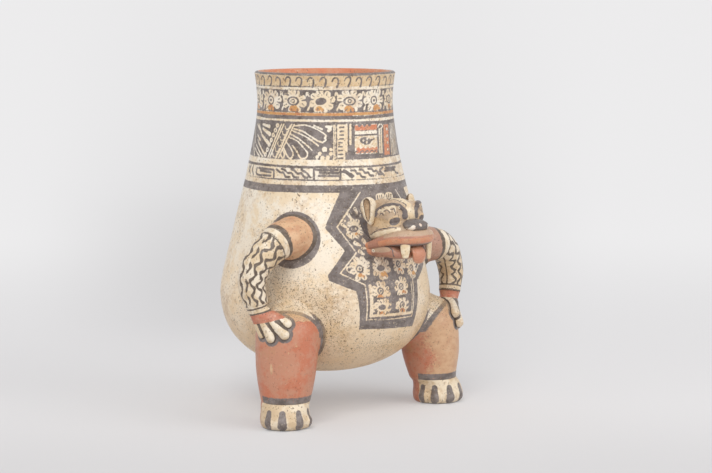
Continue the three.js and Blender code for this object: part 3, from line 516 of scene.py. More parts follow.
for side_u in (u, -u):
    for x0, z0, x1, z1, radius in BIB_LEAVES:
        leaf = capsule(side_u, z, (x0, z0), (x1, z1), radius, radius * 0.5)
        dark = bare(dark, bare(leaf, oval(side_u, z, (x0, z0), (0.7, 0.7))))
    dark = bare(dark, stroke(side_u, z, BIB_CURL, 1.3))
for start in (-5, 7):
    comb = [(start - 1, 210), (start, 215), (start + 8, 215), (start + 9, 210)]
    dark = bare(dark, stroke(u, z, comb, 1.5))
    for tooth in (2, 4.5, 7):
        dark = bare(dark, capsule(u, z, (start + tooth, 215), (start + tooth, 210.5), 0.7))
body_dark, body_orange = over(dark, 218.2 + sway(turn, 3, 0.22) - z), orange

# The collar is the upper end of the same coiled wall, turned out a little at its rounded lip. It's
# one skin, inside and out, with a grid close enough to carry the painted bands.
LIP_HALF = 3
lip_middle = RIM_R - JAR_WALL / 2
collar_line = [(float(wall_radius(z)), float(z)) for z in np.linspace(COLLAR_Z, RIM_Z - LIP_HALF, 108)]
for step in range(1, 12):
    bow = math.radians(180 * step / 12)
    collar_line.append((lip_middle + LIP_HALF * math.cos(bow), RIM_Z - LIP_HALF + LIP_HALF * math.sin(bow)))
for z in np.linspace(RIM_Z - LIP_HALF, COLLAR_Z, 12):
    collar_line.append((float(wall_radius(z, JAR_WALL)), float(z)))
collar = spun(collar_line, 560)
hand_wobble(collar, *WALL_WOBBLE)
painted_collar = slip_material(
    "painted_collar", (CREAM, TAN), (
        ("wash", (0.62, 0.43, 0.24), (0.72, 0.56, 0.36), 0.3), ("orange", ORANGE, RUST, 0.2),
        ("red", (0.6, 0.2, 0.1), (0.58, 0.28, 0.16), 0.2), ("dark", GREY, DARK, 0.2),
    ),
)
collar_nodes = ["lower_collar", "upper_collar", "rim_lip"]
jar_collar = finish_piece("jar_collar", collar, painted_collar, collar_nodes)

# The painted bands of the collar. Both halves of the collar carry the same painting, as the hidden
# half can't be seen: a turn is counted from the middle of the half that it lies in.
DARK_BANDS = (
    (317, 317.9, 14), (292.7, 314.4, 15), (286.5, 289.9, 16), (248.8, 284.2, 17), (240.9, 243.2, 18),
    (229.2, 230.3, 19),
)
x, y, z = clay_points(jar_collar).T
turn = np.degrees(np.arctan2(x, -y))
u = np.radians(turned_from(turn, VIEW_BEARING, 180)) * wall_radius(z)
outside = np.hypot(x, y) - np.where(z < RIM_Z - LIP_HALF, wall_radius(z) - JAR_WALL / 2, lip_middle - 0.6)
wash = band(turn, z, 317.6, 327.8, 10)
orange = band(turn, z, 289.9, 292.7, 12)
red = np.full(u.shape, 9.0)
dark = over(327.9 + sway(turn, 13, 0.2) - z, *[band(turn, z, *stripe) for stripe in DARK_BANDS])
dark = over(dark, z - 225.1 - sway(turn, 20, 0.22))

# Thirty-six hooks under the rim, and fifteen flowers with eyes in the dark band below them. Each is
# brushed on by hand, so no two of them are quite alike.
HOOK = [(-5, 0.5), (-3.6, 3.2), (-1.4, 4.1), (0.9, 2.4), (0.7, -1.6), (-0.5, -4.6)]
HOOK_Z, HOOKS, FACE_Z, FACES, FIRST_FACE = 322, 36, 303.6, 15, -115.5
hook_turn = 360 / HOOKS
hook_number = np.floor((turn - VIEW_BEARING + hook_turn / 2) / hook_turn) % HOOKS
hook_lean = np.sin(hook_number * 2.4) * 0.7
hook_u = np.radians(turned_from(turn, VIEW_BEARING, hook_turn)) * wall_radius(z)
hook_u += hook_lean * (z - HOOK_Z) * 0.15
dark = over(dark, stroke(hook_u, z - HOOK_Z + hook_lean * 0.6, HOOK, 1.3, 2))
EYES = ("ring", "ring", "almond", "solid", "almond", "ring", "almond", "solid")
for number in range(FACES):
    face_turn = turned_from(turn, FIRST_FACE + 360 / FACES * number)
    near = (np.abs(face_turn) < 12.5) & (z > 291) & (z < 316)
    face_u, face_v = np.radians(face_turn[near]) * 67, z[near] - FACE_Z
    flower, eye_line, blush = flower_face(face_u, face_v, 70 + number, 13.2, 11, EYES[number % 8])
    for bit in ((-13.8, 7.5, -12.4, 4.5), (-13.6, -8, -12, -5), (13.4, 8, 12.6, 5)):
        flower = over(flower, capsule(face_u, face_v, bit[:2], bit[2:], 1.1, 0.6))
    flower = within(flower, np.abs(face_v) - 10)
    dark[near] = over(bare(dark[near], flower), eye_line)
    orange[near] = over(orange[near], within(blush, flower - 0.5))

# The frieze: feathers either side of a slanting beaded strap, a ladder, and a serpent's head in a
# panel. Its lines are laid out in millimetres round from the middle of the half, and in height.
FEATHER_BARBS = (
    (-87.5, 279.5, -79, 275, 1.4), (-72.5, 280, -61, 278.5, 1.9), (-72, 276, -60, 271.5, 2.2),
    (-73.5, 270, -62, 263, 2.2), (-84, 269.5, -76.5, 265, 1.3), (-82, 264.5, -67, 252, 1.4),
    (-87, 261.5, -70, 249.5, 1.2), (-89, 257, -76, 249.5, 1.1), (-82, 280, -75, 272, 1.3),
    (-98, 278, -90, 262, 1.2), (-96, 262, -88, 250, 1.2),
)
FEATHERS = (
    [(-30, 280), (-24, 281), (-18, 281), (-12.5, 279.5), (-5, 276), (1, 271.5), (-0.5, 269), (1, 267.5),
     (-2.5, 265)],
    [(-30.5, 277.5), (-22, 275.5), (-15, 271.5), (-7.5, 267), (-3, 265.3)],
    [(-32.5, 275.5), (-24.5, 273), (-17, 269.5), (-11, 265.5), (-6.5, 262)],
    [(-35, 272.5), (-26, 268.5), (-18.5, 263), (-12.5, 258)],
    [(-36, 269.5), (-27, 266), (-21, 260), (-17, 255.5), (-17.5, 251.5), (-21, 249.8), (-24.5, 251),
     (-27, 255.5), (-32, 261.5)],
    [(-39, 265), (-34.5, 260), (-31.5, 254.5), (-32.5, 250.8), (-35.5, 250), (-39, 254), (-41.5, 259)],
    [(-43.5, 258), (-41, 253.5), (-41.5, 250), (-44, 250.5), (-45.5, 254)],
    [(-10.5, 281), (-2.5, 277.5)],
)
BLOT = [(0, 281), (7, 281), (6, 276), (3.5, 274), (1.5, 276), (3, 278), (0, 279)]
PETALS = (
    (-0.5, 258.5, 2.6), (-5, 254.5, 1.9), (-7.5, 251.5, 1.7), (-2.5, 250.8, 2), (2.5, 250.8, 2),
    (5.5, 254.5, 1.9),
    (5.5, 258.5, 1.6),
)
PANEL_U, SIDE_U, LADDER_U = 42, 70, 15.3
frieze = (z > 247) & (z < 286)
fu, fz = u[frieze], z[frieze]
cream = over(*[capsule(fu, fz, (x0, z0), (x1, z1), r * 0.5, r * 0.9) for x0, z0, x1, z1, r in FEATHER_BARBS])
cream = over(cream, *[stroke(fu, fz, feather, 1.3, 1.6) for feather in FEATHERS])
for foot, top in ((-61.5, -44.5), (-58.8, -41.8), (-50.5, -33), (-47.8, -30.3)):
    cream = over(cream, capsule(fu, fz, (foot, 249.6), (top, 281.4), 0.75))
for step in range(7):
    bead = (-49.5 - 2.7 * step, 280 - 4.7 * step)
    cream = over(cream, bare(oval(fu, fz, bead, (2.3, 2.1), 60), oval(fu, fz, bead, (0.75, 0.75))))
for step in range(6):
    a, b = -36.8 - 2.9 * step, 279.5 - 5.3 * step
    scallop = [(a - 3.5, b + 0.6), (a - 3, b - 2.2), (a, b - 2.6), (a + 1.6, b + 0.4)]
    cream = over(cream, stroke(fu, fz, scallop, 1.1))
cream = over(cream, patch(fu, fz, BLOT), *[oval(fu, fz, (a, b), (r, r)) for a, b, r in PETALS])
cream = bare(cream, np.hypot((fu - 0.3) / 1.2, fz - 254.6) - 1.9)
cream = bare(over(cream, block(fu, fz, (9, 265), (1.3, 16.6))), np.abs(fu - 9.2) - 0.3)
rung = np.abs((fz - 248.5) % 3.6 - 1.8) - 0.75
rung = within(rung, np.abs(fu - LADDER_U - np.sign(fz - 268) * 0.6) - 2.4)
cream = over(cream, bare(block(fu, fz, (LADDER_U, 265), (3.9, 16.8)), rung))
for place, low in ((20.5, 256.5), (24.3, 263.5)):
    cream = over(cream, capsule(fu, fz, (place, low), (place, 281.4), 1.1))
panel = block(fu, fz, (PANEL_U, 267.5), (13.6, 14.2))
side_panel = block(fu, fz, (SIDE_U, 265.5), (5, 14.6))
cream = over(cream, panel)
for step in range(5):
    cream = bare(cream, np.abs(oval(fu, fz, (31 + 5.6 * step, 253.5), (2.4, 3))) - 0.5)
cream = over(cream, within(np.abs(np.abs(fu - 60) - 1.4) - 0.9, np.abs(fz - 265) - 12), side_panel)
cream = over(cream, stroke(fu, fz, [(56.5, 278), (59, 280.5), (63, 280), (63.5, 277.5), (61, 276.5)], 1.3))
for place in (79, 82.5, 86, 90, 95):
    cream = over(cream, capsule(fu, fz, (place, 251), (place + 0.5, 280), 0.7))
lines = over(block(fu, fz, (PANEL_U, 271.3), (13.6, 0.8)), block(fu, fz, (PANEL_U, 275.3), (13.6, 0.4)))
lines = over(lines, oval(fu, fz, (40.5, 265.8), (6.6, 3.5), -10))
for start, end, *radii in (((33, 267.5), (38, 266), 0.4, 1.6), ((45, 265.5), (51.5, 267.4), 1.2, 0.5)):
    lines = over(lines, capsule(fu, fz, start, end, *radii))
for a, b, radius in ((38, 266.3, 1.1), (41.8, 264.6, 1.2), (42.5, 267.6, 0.9)):
    lines = bare(lines, oval(fu, fz, (a, b), (radius, radius)))
lines = over(lines, *[oval(fu, fz, (place, 280.5), (1.8, 1.6)) for place in (34, 39.5, 45.5)])
jag = 259.2 + 1.4 * np.abs((fu % 5.4) / 2.7 - 1) - 0.7
rouge = within(fz - jag, 254.5 - fz, np.abs(fu - 42.8) - 12.4)
rouge = over(rouge, block(fu, fz, (PANEL_U, 278.2), (13.2, 2.6)))
bead_row = np.hypot(fu - 71.5, (fz - 253) % 6.4 - 3.2)
rouge = over(rouge, within(side_panel, 1.5 - bead_row))
lines = over(lines, np.abs(panel) - 0.45, np.abs(side_panel) - 0.45)
lines = over(lines, within(np.abs(bead_row - 1.6) - 0.3, side_panel))
dark[frieze] = over(bare(dark[frieze], cream), lines)
red[frieze] = rouge
wash[frieze] = over(wash[frieze], within(block(fu, fz, (PANEL_U, 264.8), (13.2, 6)), 0))

# The fret band: spirals, bars and stepped slanting lines in dark paint on the cream. They are all
# pulls of one brush, laid out like the frieze in millimetres round and in height.
FRETS = (
    [(-100, 239), (-95, 232)], [(-95, 239.5), (-100, 233)], [(-88, 239), (-90, 236), (-86, 232)],
    [(-79, 238.5), (-79, 232.5), (-57, 232.5)], [(-76, 238.7), (-55, 238.2), (-53, 236), (-53, 231)],
    [(-73, 236.2), (-57, 235.6)], [(-50, 239), (-45, 236), (-42, 236), (-39, 232.5), (-35, 232.3)],
    [(-44, 239.5), (-40, 238.5), (-37, 236), (-33, 236), (-30, 232.5), (-26, 232.3)],
    [(-33, 239.5), (-30, 238.5), (-27, 236), (-23, 236), (-20, 232.8), (-17, 232)],
    [(-23, 239.5), (-19, 237.5), (-16.5, 235.5), (-14, 232.5)], [(-10.5, 239.5), (-10.5, 231.5)],
    [(-9, 239.6), (12, 239.3)], [(-5, 236.9), (13, 236.7)], [(-6, 234), (12.5, 233.8)],
    [(14.5, 239.5), (14.5, 231.5)], [(15.5, 238), (20, 236.5), (26, 232)], [(18, 239), (27.5, 233.5)],
    [(25, 238.6), (29, 238.4), (31, 235.6), (34, 235.5), (36, 232.4), (40, 232)],
    [(33.5, 239), (37, 238.8), (39.5, 236), (43, 236.2), (45, 233.4), (49, 233)],
    [(43, 239.5), (47, 239.2), (49.5, 237), (53, 237), (56, 234), (60, 233.6)],
    [(61, 239.6), (57, 237.4), (63, 232.6)], [(66, 239), (84, 238.6)],
    [(64, 236.4), (81, 236.2), (84, 233.6), (90, 232.6)],
)
frets = (z > 228) & (z < 243)
dark[frets] = over(dark[frets], *[stroke(u[frets], z[frets], fret, 2.1) for fret in FRETS])
red = np.where(outside > 0, red, np.where(z > 290, -3, 9))
layers = {"wash": wash, "orange": orange, "dark": dark}
paint(jar_collar, red=red, **{key: np.where(outside > 0, value, 9) for key, value in layers.items()})

# The two front legs are hollow, built as tubes on the sides of the bowl and closed over the knee.
# The clay of the seam was smeared out over the jar with a thumb, which left a soft fillet.
LEG_BEARING, FOOT_STAND, KNEE_STAND, LEG_JOINT = 61, 112, 104.5, 24
KNEE_Z, KNEE_RISE, KNEE_R, ANKLE_R = 84, 33, 30, 23.2
SIDES = (("right", -1, 0, 0), ("left", 1, 10, -4))


def around(distance, bearing, z, across=1):
    """A point at a distance from the jar's axis and a bearing from the head, on one side."""
    turn = math.radians(bearing)
    return Vector((across * distance * math.sin(turn), -distance * math.cos(turn), z))


def tube(bm, stations, sides=28, power=2):
    """A closed tube pulled through stations: a centre and the two half axes of its section.
    Power 2 makes the section an ellipse, and more makes it squarer."""
    loop = list(bmesh.ops.create_circle(bm, cap_ends=True, segments=sides, radius=1)["verts"])
    turns = [2 * math.pi * i / sides for i in range(sides)]

    def place(verts, station):
        centre, across, up = (Vector(part) for part in station)
        for vert, turn in zip(verts, turns):
            c, s = (math.copysign(abs(v) ** (2 / power), v) for v in (math.cos(turn), math.sin(turn)))
            vert.co = centre + across * c + up * s

    place(loop, stations[0])
    for station in stations[1:]:
        near = {e for v in loop for e in v.link_edges}
        edges = [e for e in near if e.verts[0] in loop and e.verts[1] in loop]
        pulled = bmesh.ops.extrude_edge_only(bm, edges=edges)["geom"]
        fresh = {v for v in pulled if isinstance(v, bmesh.types.BMVert)}
        loop = [next(e.other_vert(v) for e in v.link_edges if e.other_vert(v) in fresh) for v in loop]
        place(loop, station)
    bmesh.ops.contextual_create(bm, geom=loop)


def lump(bm, centre, half, turn=0, tilt=0):
    """An egg of clay with three half sizes, tilted about X and then turned about the upright."""
    made = bmesh.ops.create_icosphere(bm, subdivisions=4, radius=1)["verts"]
    bmesh.ops.scale(bm, verts=made, vec=half)
    spin = Matrix.Rotation(turn, 3, "Z") @ Matrix.Rotation(tilt, 3, "X")
    bmesh.ops.rotate(bm, verts=made, cent=(0, 0, 0), matrix=spin)
    bmesh.ops.translate(bm, verts=made, vec=centre)


def sausage(bm, points, radii, sides=20):
    """A round-ended roll of clay through points, with a radius at each."""
    points = [Vector(point) for point in points]
    stations = []
    last = len(points) - 1
    for i, (point, radius) in enumerate(zip(points, radii)):
        along = (points[min(i + 1, last)] - points[max(i - 1, 0)]).normalized()
        side = along.orthogonal().normalized() if i == 0 else (side - along * side.dot(along)).normalized()
        up = along.cross(side)
        caps = [(0, 1)]
        if i == 0:
            caps = [(-math.sin(t), math.cos(t)) for t in (1.35, 1.0, 0.6, 0.25)] + caps
        if i == last:
            caps = caps + [(math.sin(t), math.cos(t)) for t in (0.25, 0.6, 1.0, 1.35)]
        for shift, size in caps:
            stations.append((point + along * radius * shift, side * radius * size, up * radius * size))
    tube(bm, stations, sides)


def smoothed(bm, times):
    for _ in range(times):
        bmesh.ops.smooth_vert(
            bm, verts=bm.verts, factor=0.5, use_axis_x=True, use_axis_y=True, use_axis_z=True,
        )


def kneaded(bm, fineness, smoothing):
    """Fuses overlapping lumps into one skin of clay and smooths the joins."""
    mesh = bpy.data.meshes.new("clay")
    bm.to_mesh(mesh)
    bm.free()
    lumps = placed("clay", mesh)
    fuse = lumps.modifiers.new("fuse", "REMESH")
    fuse.mode = "VOXEL"
    fuse.voxel_size = fineness
    fused = bpy.data.meshes.new_from_object(lumps.evaluated_get(bpy.context.evaluated_depsgraph_get()))
    clay = bmesh.new()
    clay.from_mesh(fused)
    bpy.data.objects.remove(lumps)
    bpy.data.meshes.remove(mesh)
    bpy.data.meshes.remove(fused)
    smoothed(clay, smoothing)
    bmesh.ops.recalc_face_normals(clay, faces=clay.faces)
    return clay


def luted(bm, reach, rise, line):
    """Draws the clay next to the jar outwards along the wall, away from the limb's centre line."""
    for vert in bm.verts:
        gap = math.hypot(vert.co.x, vert.co.y) - float(wall_radius(vert.co.z))
        if -2 < gap < reach:
            away = vert.co - Vector(line(vert.co))
            out = Vector((vert.co.x, vert.co.y, 0)).normalized()
            away -= out * away.dot(out)
            if away.length > 0.1:
                vert.co += away.normalized() * rise * (1 - max(gap, 0) / reach) ** 2


def leg_stand(z, drop):
    """How far a leg's middle stands from the jar's axis at a height."""
    return FOOT_STAND + (KNEE_STAND - FOOT_STAND) * np.clip(z / (KNEE_Z - drop), 0, 1)


def leg_centre(z, across, drop):
    return around(leg_stand(z, drop), LEG_BEARING, z, across)


def shin_radius(z, drop):
    rise = np.clip((z - LEG_JOINT) / (KNEE_Z - drop - LEG_JOINT), 0, 1)
    return ANKLE_R + (KNEE_R - ANKLE_R) * rise * (2 - rise)


def outside_leg(points, across, drop):
    """How far points lie outside a leg and its knee."""
    x, y, z = points.T
    knee, stand, turn = KNEE_Z - drop, leg_stand(z, drop), math.radians(LEG_BEARING)
    apart = np.hypot(x - across * stand * math.sin(turn), y + stand * math.cos(turn))
    dome = (np.hypot(apart / KNEE_R, np.maximum(z - knee, 0) / KNEE_RISE) - 1) * KNEE_R
    return np.where(z > knee, dome, apart - shin_radius(z, drop))


def outside_knee_paint(points, across, drop):
    """How far points lie outside the painted edge of a knee, which is lower than its clay."""
    knee, turn = KNEE_Z - drop, math.radians(LEG_BEARING - 20)
    x, y, z = (points - np.array(leg_centre(knee, across, drop))).T
    aside = -x * across * math.cos(turn) - y * math.sin(turn)
    return (np.hypot(aside / 33, np.maximum(z, 0) / (KNEE_RISE - 5.5)) - 1) * 27


painted_leg = slip_material(
    "painted_leg", ((0.52, 0.18, 0.1), (0.52, 0.245, 0.155)), (
        ("worn", (0.62, 0.4, 0.24), (0.54, 0.31, 0.18), 0.15), ("pale", CREAM, TAN, 0.2),
        ("dark", GREY, DARK, 0.2),
    ), speckle=0.35, soiled=True,
)
legs = {}
for side, across, drop, arm_turn in SIDES:
    leg = bmesh.new()
    out = around(1, LEG_BEARING, 0, across)
    beside = Vector((0, 0, 1)).cross(out)
    sizes = [(z, shin_radius(z, drop)) for z in np.linspace(LEG_JOINT - 0.5, KNEE_Z - drop, 16)[:-1]]
    for bow in range(0, 89, 6):
        rise = math.sin(math.radians(bow))
        sizes.append((KNEE_Z - drop + KNEE_RISE * rise, KNEE_R * math.sqrt(1 - rise**2)))
    tube(leg, [(leg_centre(z, across, drop), out * radius, beside * radius) for z, radius in sizes], 40)
    leg = kneaded(leg, 1.3, 2)
    luted(leg, 12, 4, lambda co: leg_centre(min(co.z, KNEE_Z - drop), across, drop))
    hand_wobble(leg, 0.9, 22)
    legs[side] = finish_piece(side + "_leg_clay", leg, painted_leg, [side + "_leg"])

# Each foot is a low pad with rounded toes, pressed on under the ankle. The toes are painted grey
# on cream, and the heel is left in the leg's red.
TOE_TURN, TOE_BEARINGS = 30, (-77, -45, -9, 26)
TOE_SHIFT, TOE_ENDS = 1.8, ((20.5, 7.2, 6.9), (16.5, 15.5, 5.2))
HEEL_BEARING, HEEL_SPANS = 170, {"right": 76, "left": 101}
FOOT_STATIONS = (
    (0, 20.5, 1.6), (1, 21.5, 1.8), (3.5, 23.2, 2.6), (9, 23.8, 3), (15, 22.9, 2.2), (20, 22.7, 1),
)
FOOT_DEGREE = math.radians(24)  # the length of a degree round the foot
painted_foot = slip_material(
    "painted_foot", ((0.77, 0.66, 0.5), (0.62, 0.47, 0.3)),
    (("red", RED, ROSE, 0.2), ("dark", GREY, DARK, 0.15)),
)


def bearing_round(points, centre):
    """Each point's bearing in degrees round an upright line."""
    return np.degrees(np.arctan2(points[:, 0] - centre.x, centre.y - points[:, 1]))


for side, across, drop, arm_turn in SIDES:
    foot = bmesh.new()
    toes = around(1, LEG_BEARING - TOE_TURN, 0, across)
    beside = Vector((0, 0, 1)).cross(toes)
    middle = around(FOOT_STAND, LEG_BEARING, 0, across)
    stations = []
    for z, size, forward in FOOT_STATIONS:
        centre = middle + Vector((0, 0, z)) + toes * forward
        stations.append((centre, toes * (size + forward / 2), beside * size))
    ankle = leg_centre(LEG_JOINT, across, drop) + Vector((0, 0, 0.5))
    tube(foot, stations + [(ankle, toes * ANKLE_R, beside * ANKLE_R)], 40)
    for toe_bearing in TOE_BEARINGS:
        way = around(1, toe_bearing, 0)
        ends = [middle + way * out + toes * TOE_SHIFT + Vector((0, 0, z)) for out, z, size in TOE_ENDS]
        sausage(foot, ends, [size for out, z, size in TOE_ENDS])
    foot = kneaded(foot, 0.9, 3)
    bmesh.ops.bisect_plane(
        foot, geom=foot.verts[:] + foot.edges[:] + foot.faces[:], plane_co=(0, 0, 0.05), plane_no=(0, 0, 1),
        clear_inner=True,
    )
    bmesh.ops.edgeloop_fill(foot, edges=[e for e in foot.edges if e.is_boundary])
    foot_clay = finish_piece(side + "_foot_clay", foot, painted_foot, [side + "_foot"])
    points = clay_points(foot_clay)
    bearing, z = bearing_round(points, middle), points[:, 2]
    dark = z - 0.8
    for toe_bearing in TOE_BEARINGS:
        aside = turned_from(bearing, toe_bearing) * FOOT_DEGREE
        dark = over(dark, capsule(aside, z, (0, 4.5), (0, 16.5), 4, 2.9))
    heel = (np.abs(turned_from(bearing, HEEL_BEARING)) - HEEL_SPANS[side]) * FOOT_DEGREE
    paint(foot_clay, red=heel, dark=bare(dark, heel - 1.2))

# The tail is the third leg, a plain tapering tube under the back of the belly. It's luted on like
# the front legs and slipped red, with a dark line round its foot.
TAIL_STAND, TAIL_R, TAIL_TAPER = 69, 16, 4 / 84
tail = bmesh.new()
stations = []
for z, worn_off in ((0, 1.5), (1, 0.5), (3, 0), (12, 0), (24, 0), (36, 0), (48, 0), (60, 0), (72, 0)):
    radius = TAIL_R + TAIL_TAPER * z - worn_off
    stations.append(((0, TAIL_STAND, z), (radius, 0, 0), (0, radius, 0)))
tube(tail, stations, 32)
tail = kneaded(tail, 1.4, 2)
luted(tail, 10, 4, lambda co: (0, TAIL_STAND, co.z))
tail_clay = finish_piece("tail_clay", tail, painted_leg, ["tail_leg"])
z = clay_points(tail_clay)[:, 2]
paint(tail_clay, worn=z - 10 + 6 * np.sin(z), dark=np.abs(z - 5) - 2.5)

# Each arm is a thick roll of clay that leaves the shoulder, bends out over the belly and comes
# down to the knee. The hand at its end lies on the knee with four fingers spread.
ARM_STOPS = (
    (72, 60, 172, 19.5, 1), (91, 62, 176, 19.5, 1), (105, 64, 175.5, 18.3, 0.85), (118, 67, 168, 15.5, 0.3),
    (128, 70.5, 155, 14, 0), (133, 72, 137, 12.6, 0), (130.5, 70.5, 117, 11, 0),
)
ARM_ROUND = 13


def smooth_route(stops, steps):
    """Points and radii along a curve that passes through the stops."""
    points = [Vector(s[0]) for s in stops]
    radii = [s[1] for s in stops]
    route = []
    for i in range(len(points) - 1):
        p0, p1, p2, p3 = (points[max(0, min(len(points) - 1, i + k))] for k in (-1, 0, 1, 2))
        for step in range(steps):
            t = step / steps
            point = 0.5 * (
                2 * p1 + (p2 - p0) * t + (2 * p0 - 5 * p1 + 4 * p2 - p3) * t * t
                + (3 * p1 - p0 - 3 * p2 + p3) * t**3
            )
            route.append((point, radii[i] + (radii[i + 1] - radii[i]) * t))
    route.append((points[-1], radii[-1]))
    return route


def outwards(point, way):
    """The way out from the jar that is square to a limb's run."""
    level = Vector((0, 0, 1)).cross(Vector((point.x, point.y, 0)).normalized())
    return level.cross(way).normalized()


def to_run(points, start, end):
    """How far points lie from a straight run, and what share of the way along it."""
    start, run = np.array(start), np.array(end - start)
    share = (points - start) @ run / max(run @ run, 1e-6)
    return np.linalg.norm(points - start - np.clip(share, 0, 1)[:, None] * run, axis=1), share


def along_arm(points, route):
    """For each point how far along the arm it lies, and how far round it from its outer side."""
    best = np.full(len(points), 1e9)
    along, round_arm, done = 0, 0, 0
    for (start, _), (end, _) in zip(route, route[1:]):
        way = (end - start).normalized()
        outer = outwards(start, way)
        front = way.cross(outer) * (1 if start.x > 0 else -1)
        reach, share = to_run(points, start, end)
        nearer = reach < best
        best = np.where(nearer, reach, best)
        along = np.where(nearer, done + np.maximum(share, 0) * (end - start).length, along)
        away = points - np.array(start)
        turn = np.arctan2(away @ np.array(front), away @ np.array(outer))
        round_arm = np.where(nearer, turn * ARM_ROUND, round_arm)
        done += (end - start).length
    return along, round_arm


# The paint follows the arm: an orange shoulder, a cream cuff between dark lines, then a cream
# sleeve with dark waving lines along it, and a second cuff and a red ring at the wrist.
CUFF_STARTS, WRIST_LINES = {"right": 38, "left": 37}, {"right": 110.5, "left": 98.5}
RED_WRISTS, CUFF_WIDE, CUFF_LINE = {"right": 14.5, "left": 13}, 9, 1.6
KNUCKLE_R, FINGER_TIP_R = 5.3, 5
FINGERS = (
    ((130, 67.5, 90), (129, 70.5, 104)), ((133.5, 63, 87), (131, 67, 103)),
    ((132.5, 57.5, 90.5), (130, 64, 104)),
    ((128.5, 57, 100), (127.5, 63.5, 107)),
)
SLEEVE_LINES = (-4.5, 2.6, 9.7, 16.8, 35, -18.6, -25.7, -32.8, -40)
LEG_WIDTHS, LEG_SHORES, WORN_KNEE = {"right": 6.2, "left": 3.6}, {"right": 1.4, "left": 2.4}, 102
painted_arm = slip_material(
    "painted_arm", ((0.79, 0.69, 0.55), (0.66, 0.51, 0.33)), (
        ("tan", (0.65, 0.41, 0.24), (0.55, 0.29, 0.165), 0.12), ("red", RED, ROSE, 0.15),
        # The darker shoulder tones are the lighter shoulder slip in painted shade.
        ("shaded_boss", (0.45, 0.27, 0.19), (0.4, 0.21, 0.15), 0.1),
        ("dark", (0.1, 0.07, 0.05), (0.17, 0.135, 0.11), 0.1),
    ), speckle=0.7,
)
for side, across, drop, arm_turn in SIDES:
    stops = []
    for r, b, z, size, share in ARM_STOPS:
        stops.append((around(r, b + arm_turn, z - drop * (1 + 0.9 * share), across), size))
    route = smooth_route(stops, 6)
    arm = bmesh.new()
    stations = []
    for i, (point, radius) in enumerate(route):
        way = (route[min(i + 1, len(route) - 1)][0] - route[max(i - 1, 0)][0]).normalized()
        away = outwards(point, way)
        stations.append((point, away * radius * 0.95, way.cross(away) * radius * 1.05))
    tube(arm, stations, 40)
    arm = kneaded(arm, 0.9, 3)
    root = around(91, 62 + arm_turn, 176 - 1.9 * drop, across)
    luted(arm, 7, 4, lambda co: root)
    hand_wobble(arm, 0.8, 18)
    arm_clay = finish_piece(side + "_arm_clay", arm, painted_arm, [side + "_arm"])
    points = clay_points(arm_clay)
    x, y, z = points.T
    along, round_arm = along_arm(points, route)
    wrist = along - WRIST_LINES[side]
    cuff = along - 1.2 * np.cos(round_arm / ARM_ROUND) - CUFF_STARTS[side]
    lines = over(np.abs(round_arm + 11.5) - 0.7, np.abs(round_arm - 27.5) - 0.7)
    for place, middle in enumerate(SLEEVE_LINES):
        phase = along / 2.05 + place * 1.9
        bend = 1.9 * np.sin(phase) + 0.5 * np.sin(along / 3.7 + place)
        line = np.abs(round_arm - middle - bend) * np.sqrt(1 / (1 + 0.6 * np.cos(phase) ** 2))
        lines = over(lines, line - 0.95 - 0.8 * np.sin(phase + 0.9) ** 2)
    rings = over(np.abs(cuff - CUFF_LINE) - 1.7, np.abs(cuff - CUFF_WIDE) - 0.7)
    wrist_lines = over(np.abs(wrist) - 0.8, np.abs(wrist - 5) - 0.8)
    seam = within(20.6 - np.linalg.norm(points - np.array(root), axis=1), np.hypot(x, y) - wall_radius(z) - 3)
    dark = over(rings, within(lines, CUFF_WIDE - cuff, wrist), wrist_lines, seam)
    # The left shoulder has a darker copy of the shoulder's slip: painted shade.
    boss = {"right": "tan", "left": "shaded_boss"}[side]
    paint(arm_clay, red=5 - wrist, dark=dark, **{boss: cuff - CUFF_LINE})

    hand = bmesh.new()
    wrist_point, wrist_radius = route[-1]
    way = (route[-1][0] - route[-2][0]).normalized()
    sausage(hand, [wrist_point - way * 1.5, wrist_point + way * 7], [wrist_radius * 0.96, wrist_radius * 0.8])
    lump(hand, around(127, 68.5 + arm_turn, 106 - drop, across), (10, 12, 10))
    fingers = []
    for tip, knuckle in FINGERS:
        fingers.append([around(r, b + arm_turn, z - drop, across) for r, b, z in (knuckle, tip)])
        sausage(hand, fingers[-1], [KNUCKLE_R, FINGER_TIP_R])
    hand = kneaded(hand, 0.8, 2)
    hand_clay = finish_piece(side + "_hand_clay", hand, painted_arm, [side + "_hand"])

    # Dark lines part the fingers and run round them on the knee. The back of the hand is red.
    gaps = {}
    for piece in (hand_clay, legs[side]):
        runs = [to_run(clay_points(piece), *finger) for finger in fingers]
        taper = KNUCKLE_R - FINGER_TIP_R
        reaches = [reach - KNUCKLE_R + taper * np.clip(share, 0, 1) for reach, share in runs]
        gaps[piece.name] = np.sort(reaches, axis=0)
    points = clay_points(hand_clay)
    nearest, second = gaps[hand_clay.name][:2]
    wrist = along_arm(points, route)[0] - WRIST_LINES[side]
    back = wrist - RED_WRISTS[side]
    dark = within(over(second - nearest - 2.2, outside_leg(points, across, drop) - 1.6), -back)
    dark = over(dark, np.abs(wrist) - 0.8, np.abs(wrist - 5) - 0.8)
    paint(hand_clay, red=within(back, 5 - wrist), dark=dark)

    # The knee is pale above its painted edge. Below it the right leg has small worn spots, and the left
    # one is lighter at the front, worn to tan there and partly painted light.
    points = clay_points(legs[side])
    z = points[:, 2]
    bearing = bearing_round(points, around(FOOT_STAND, LEG_BEARING, 0, across))
    heel = (np.abs(turned_from(bearing, HEEL_BEARING)) - HEEL_SPANS[side] - 6) * FOOT_DEGREE
    ring = np.abs(z - 27.6 - sway(bearing, 9, 0.3)) - 3.3
    worn = WORN_KNEE - drop + sway(bearing, 31, 1.2) - z
    if side == "left":
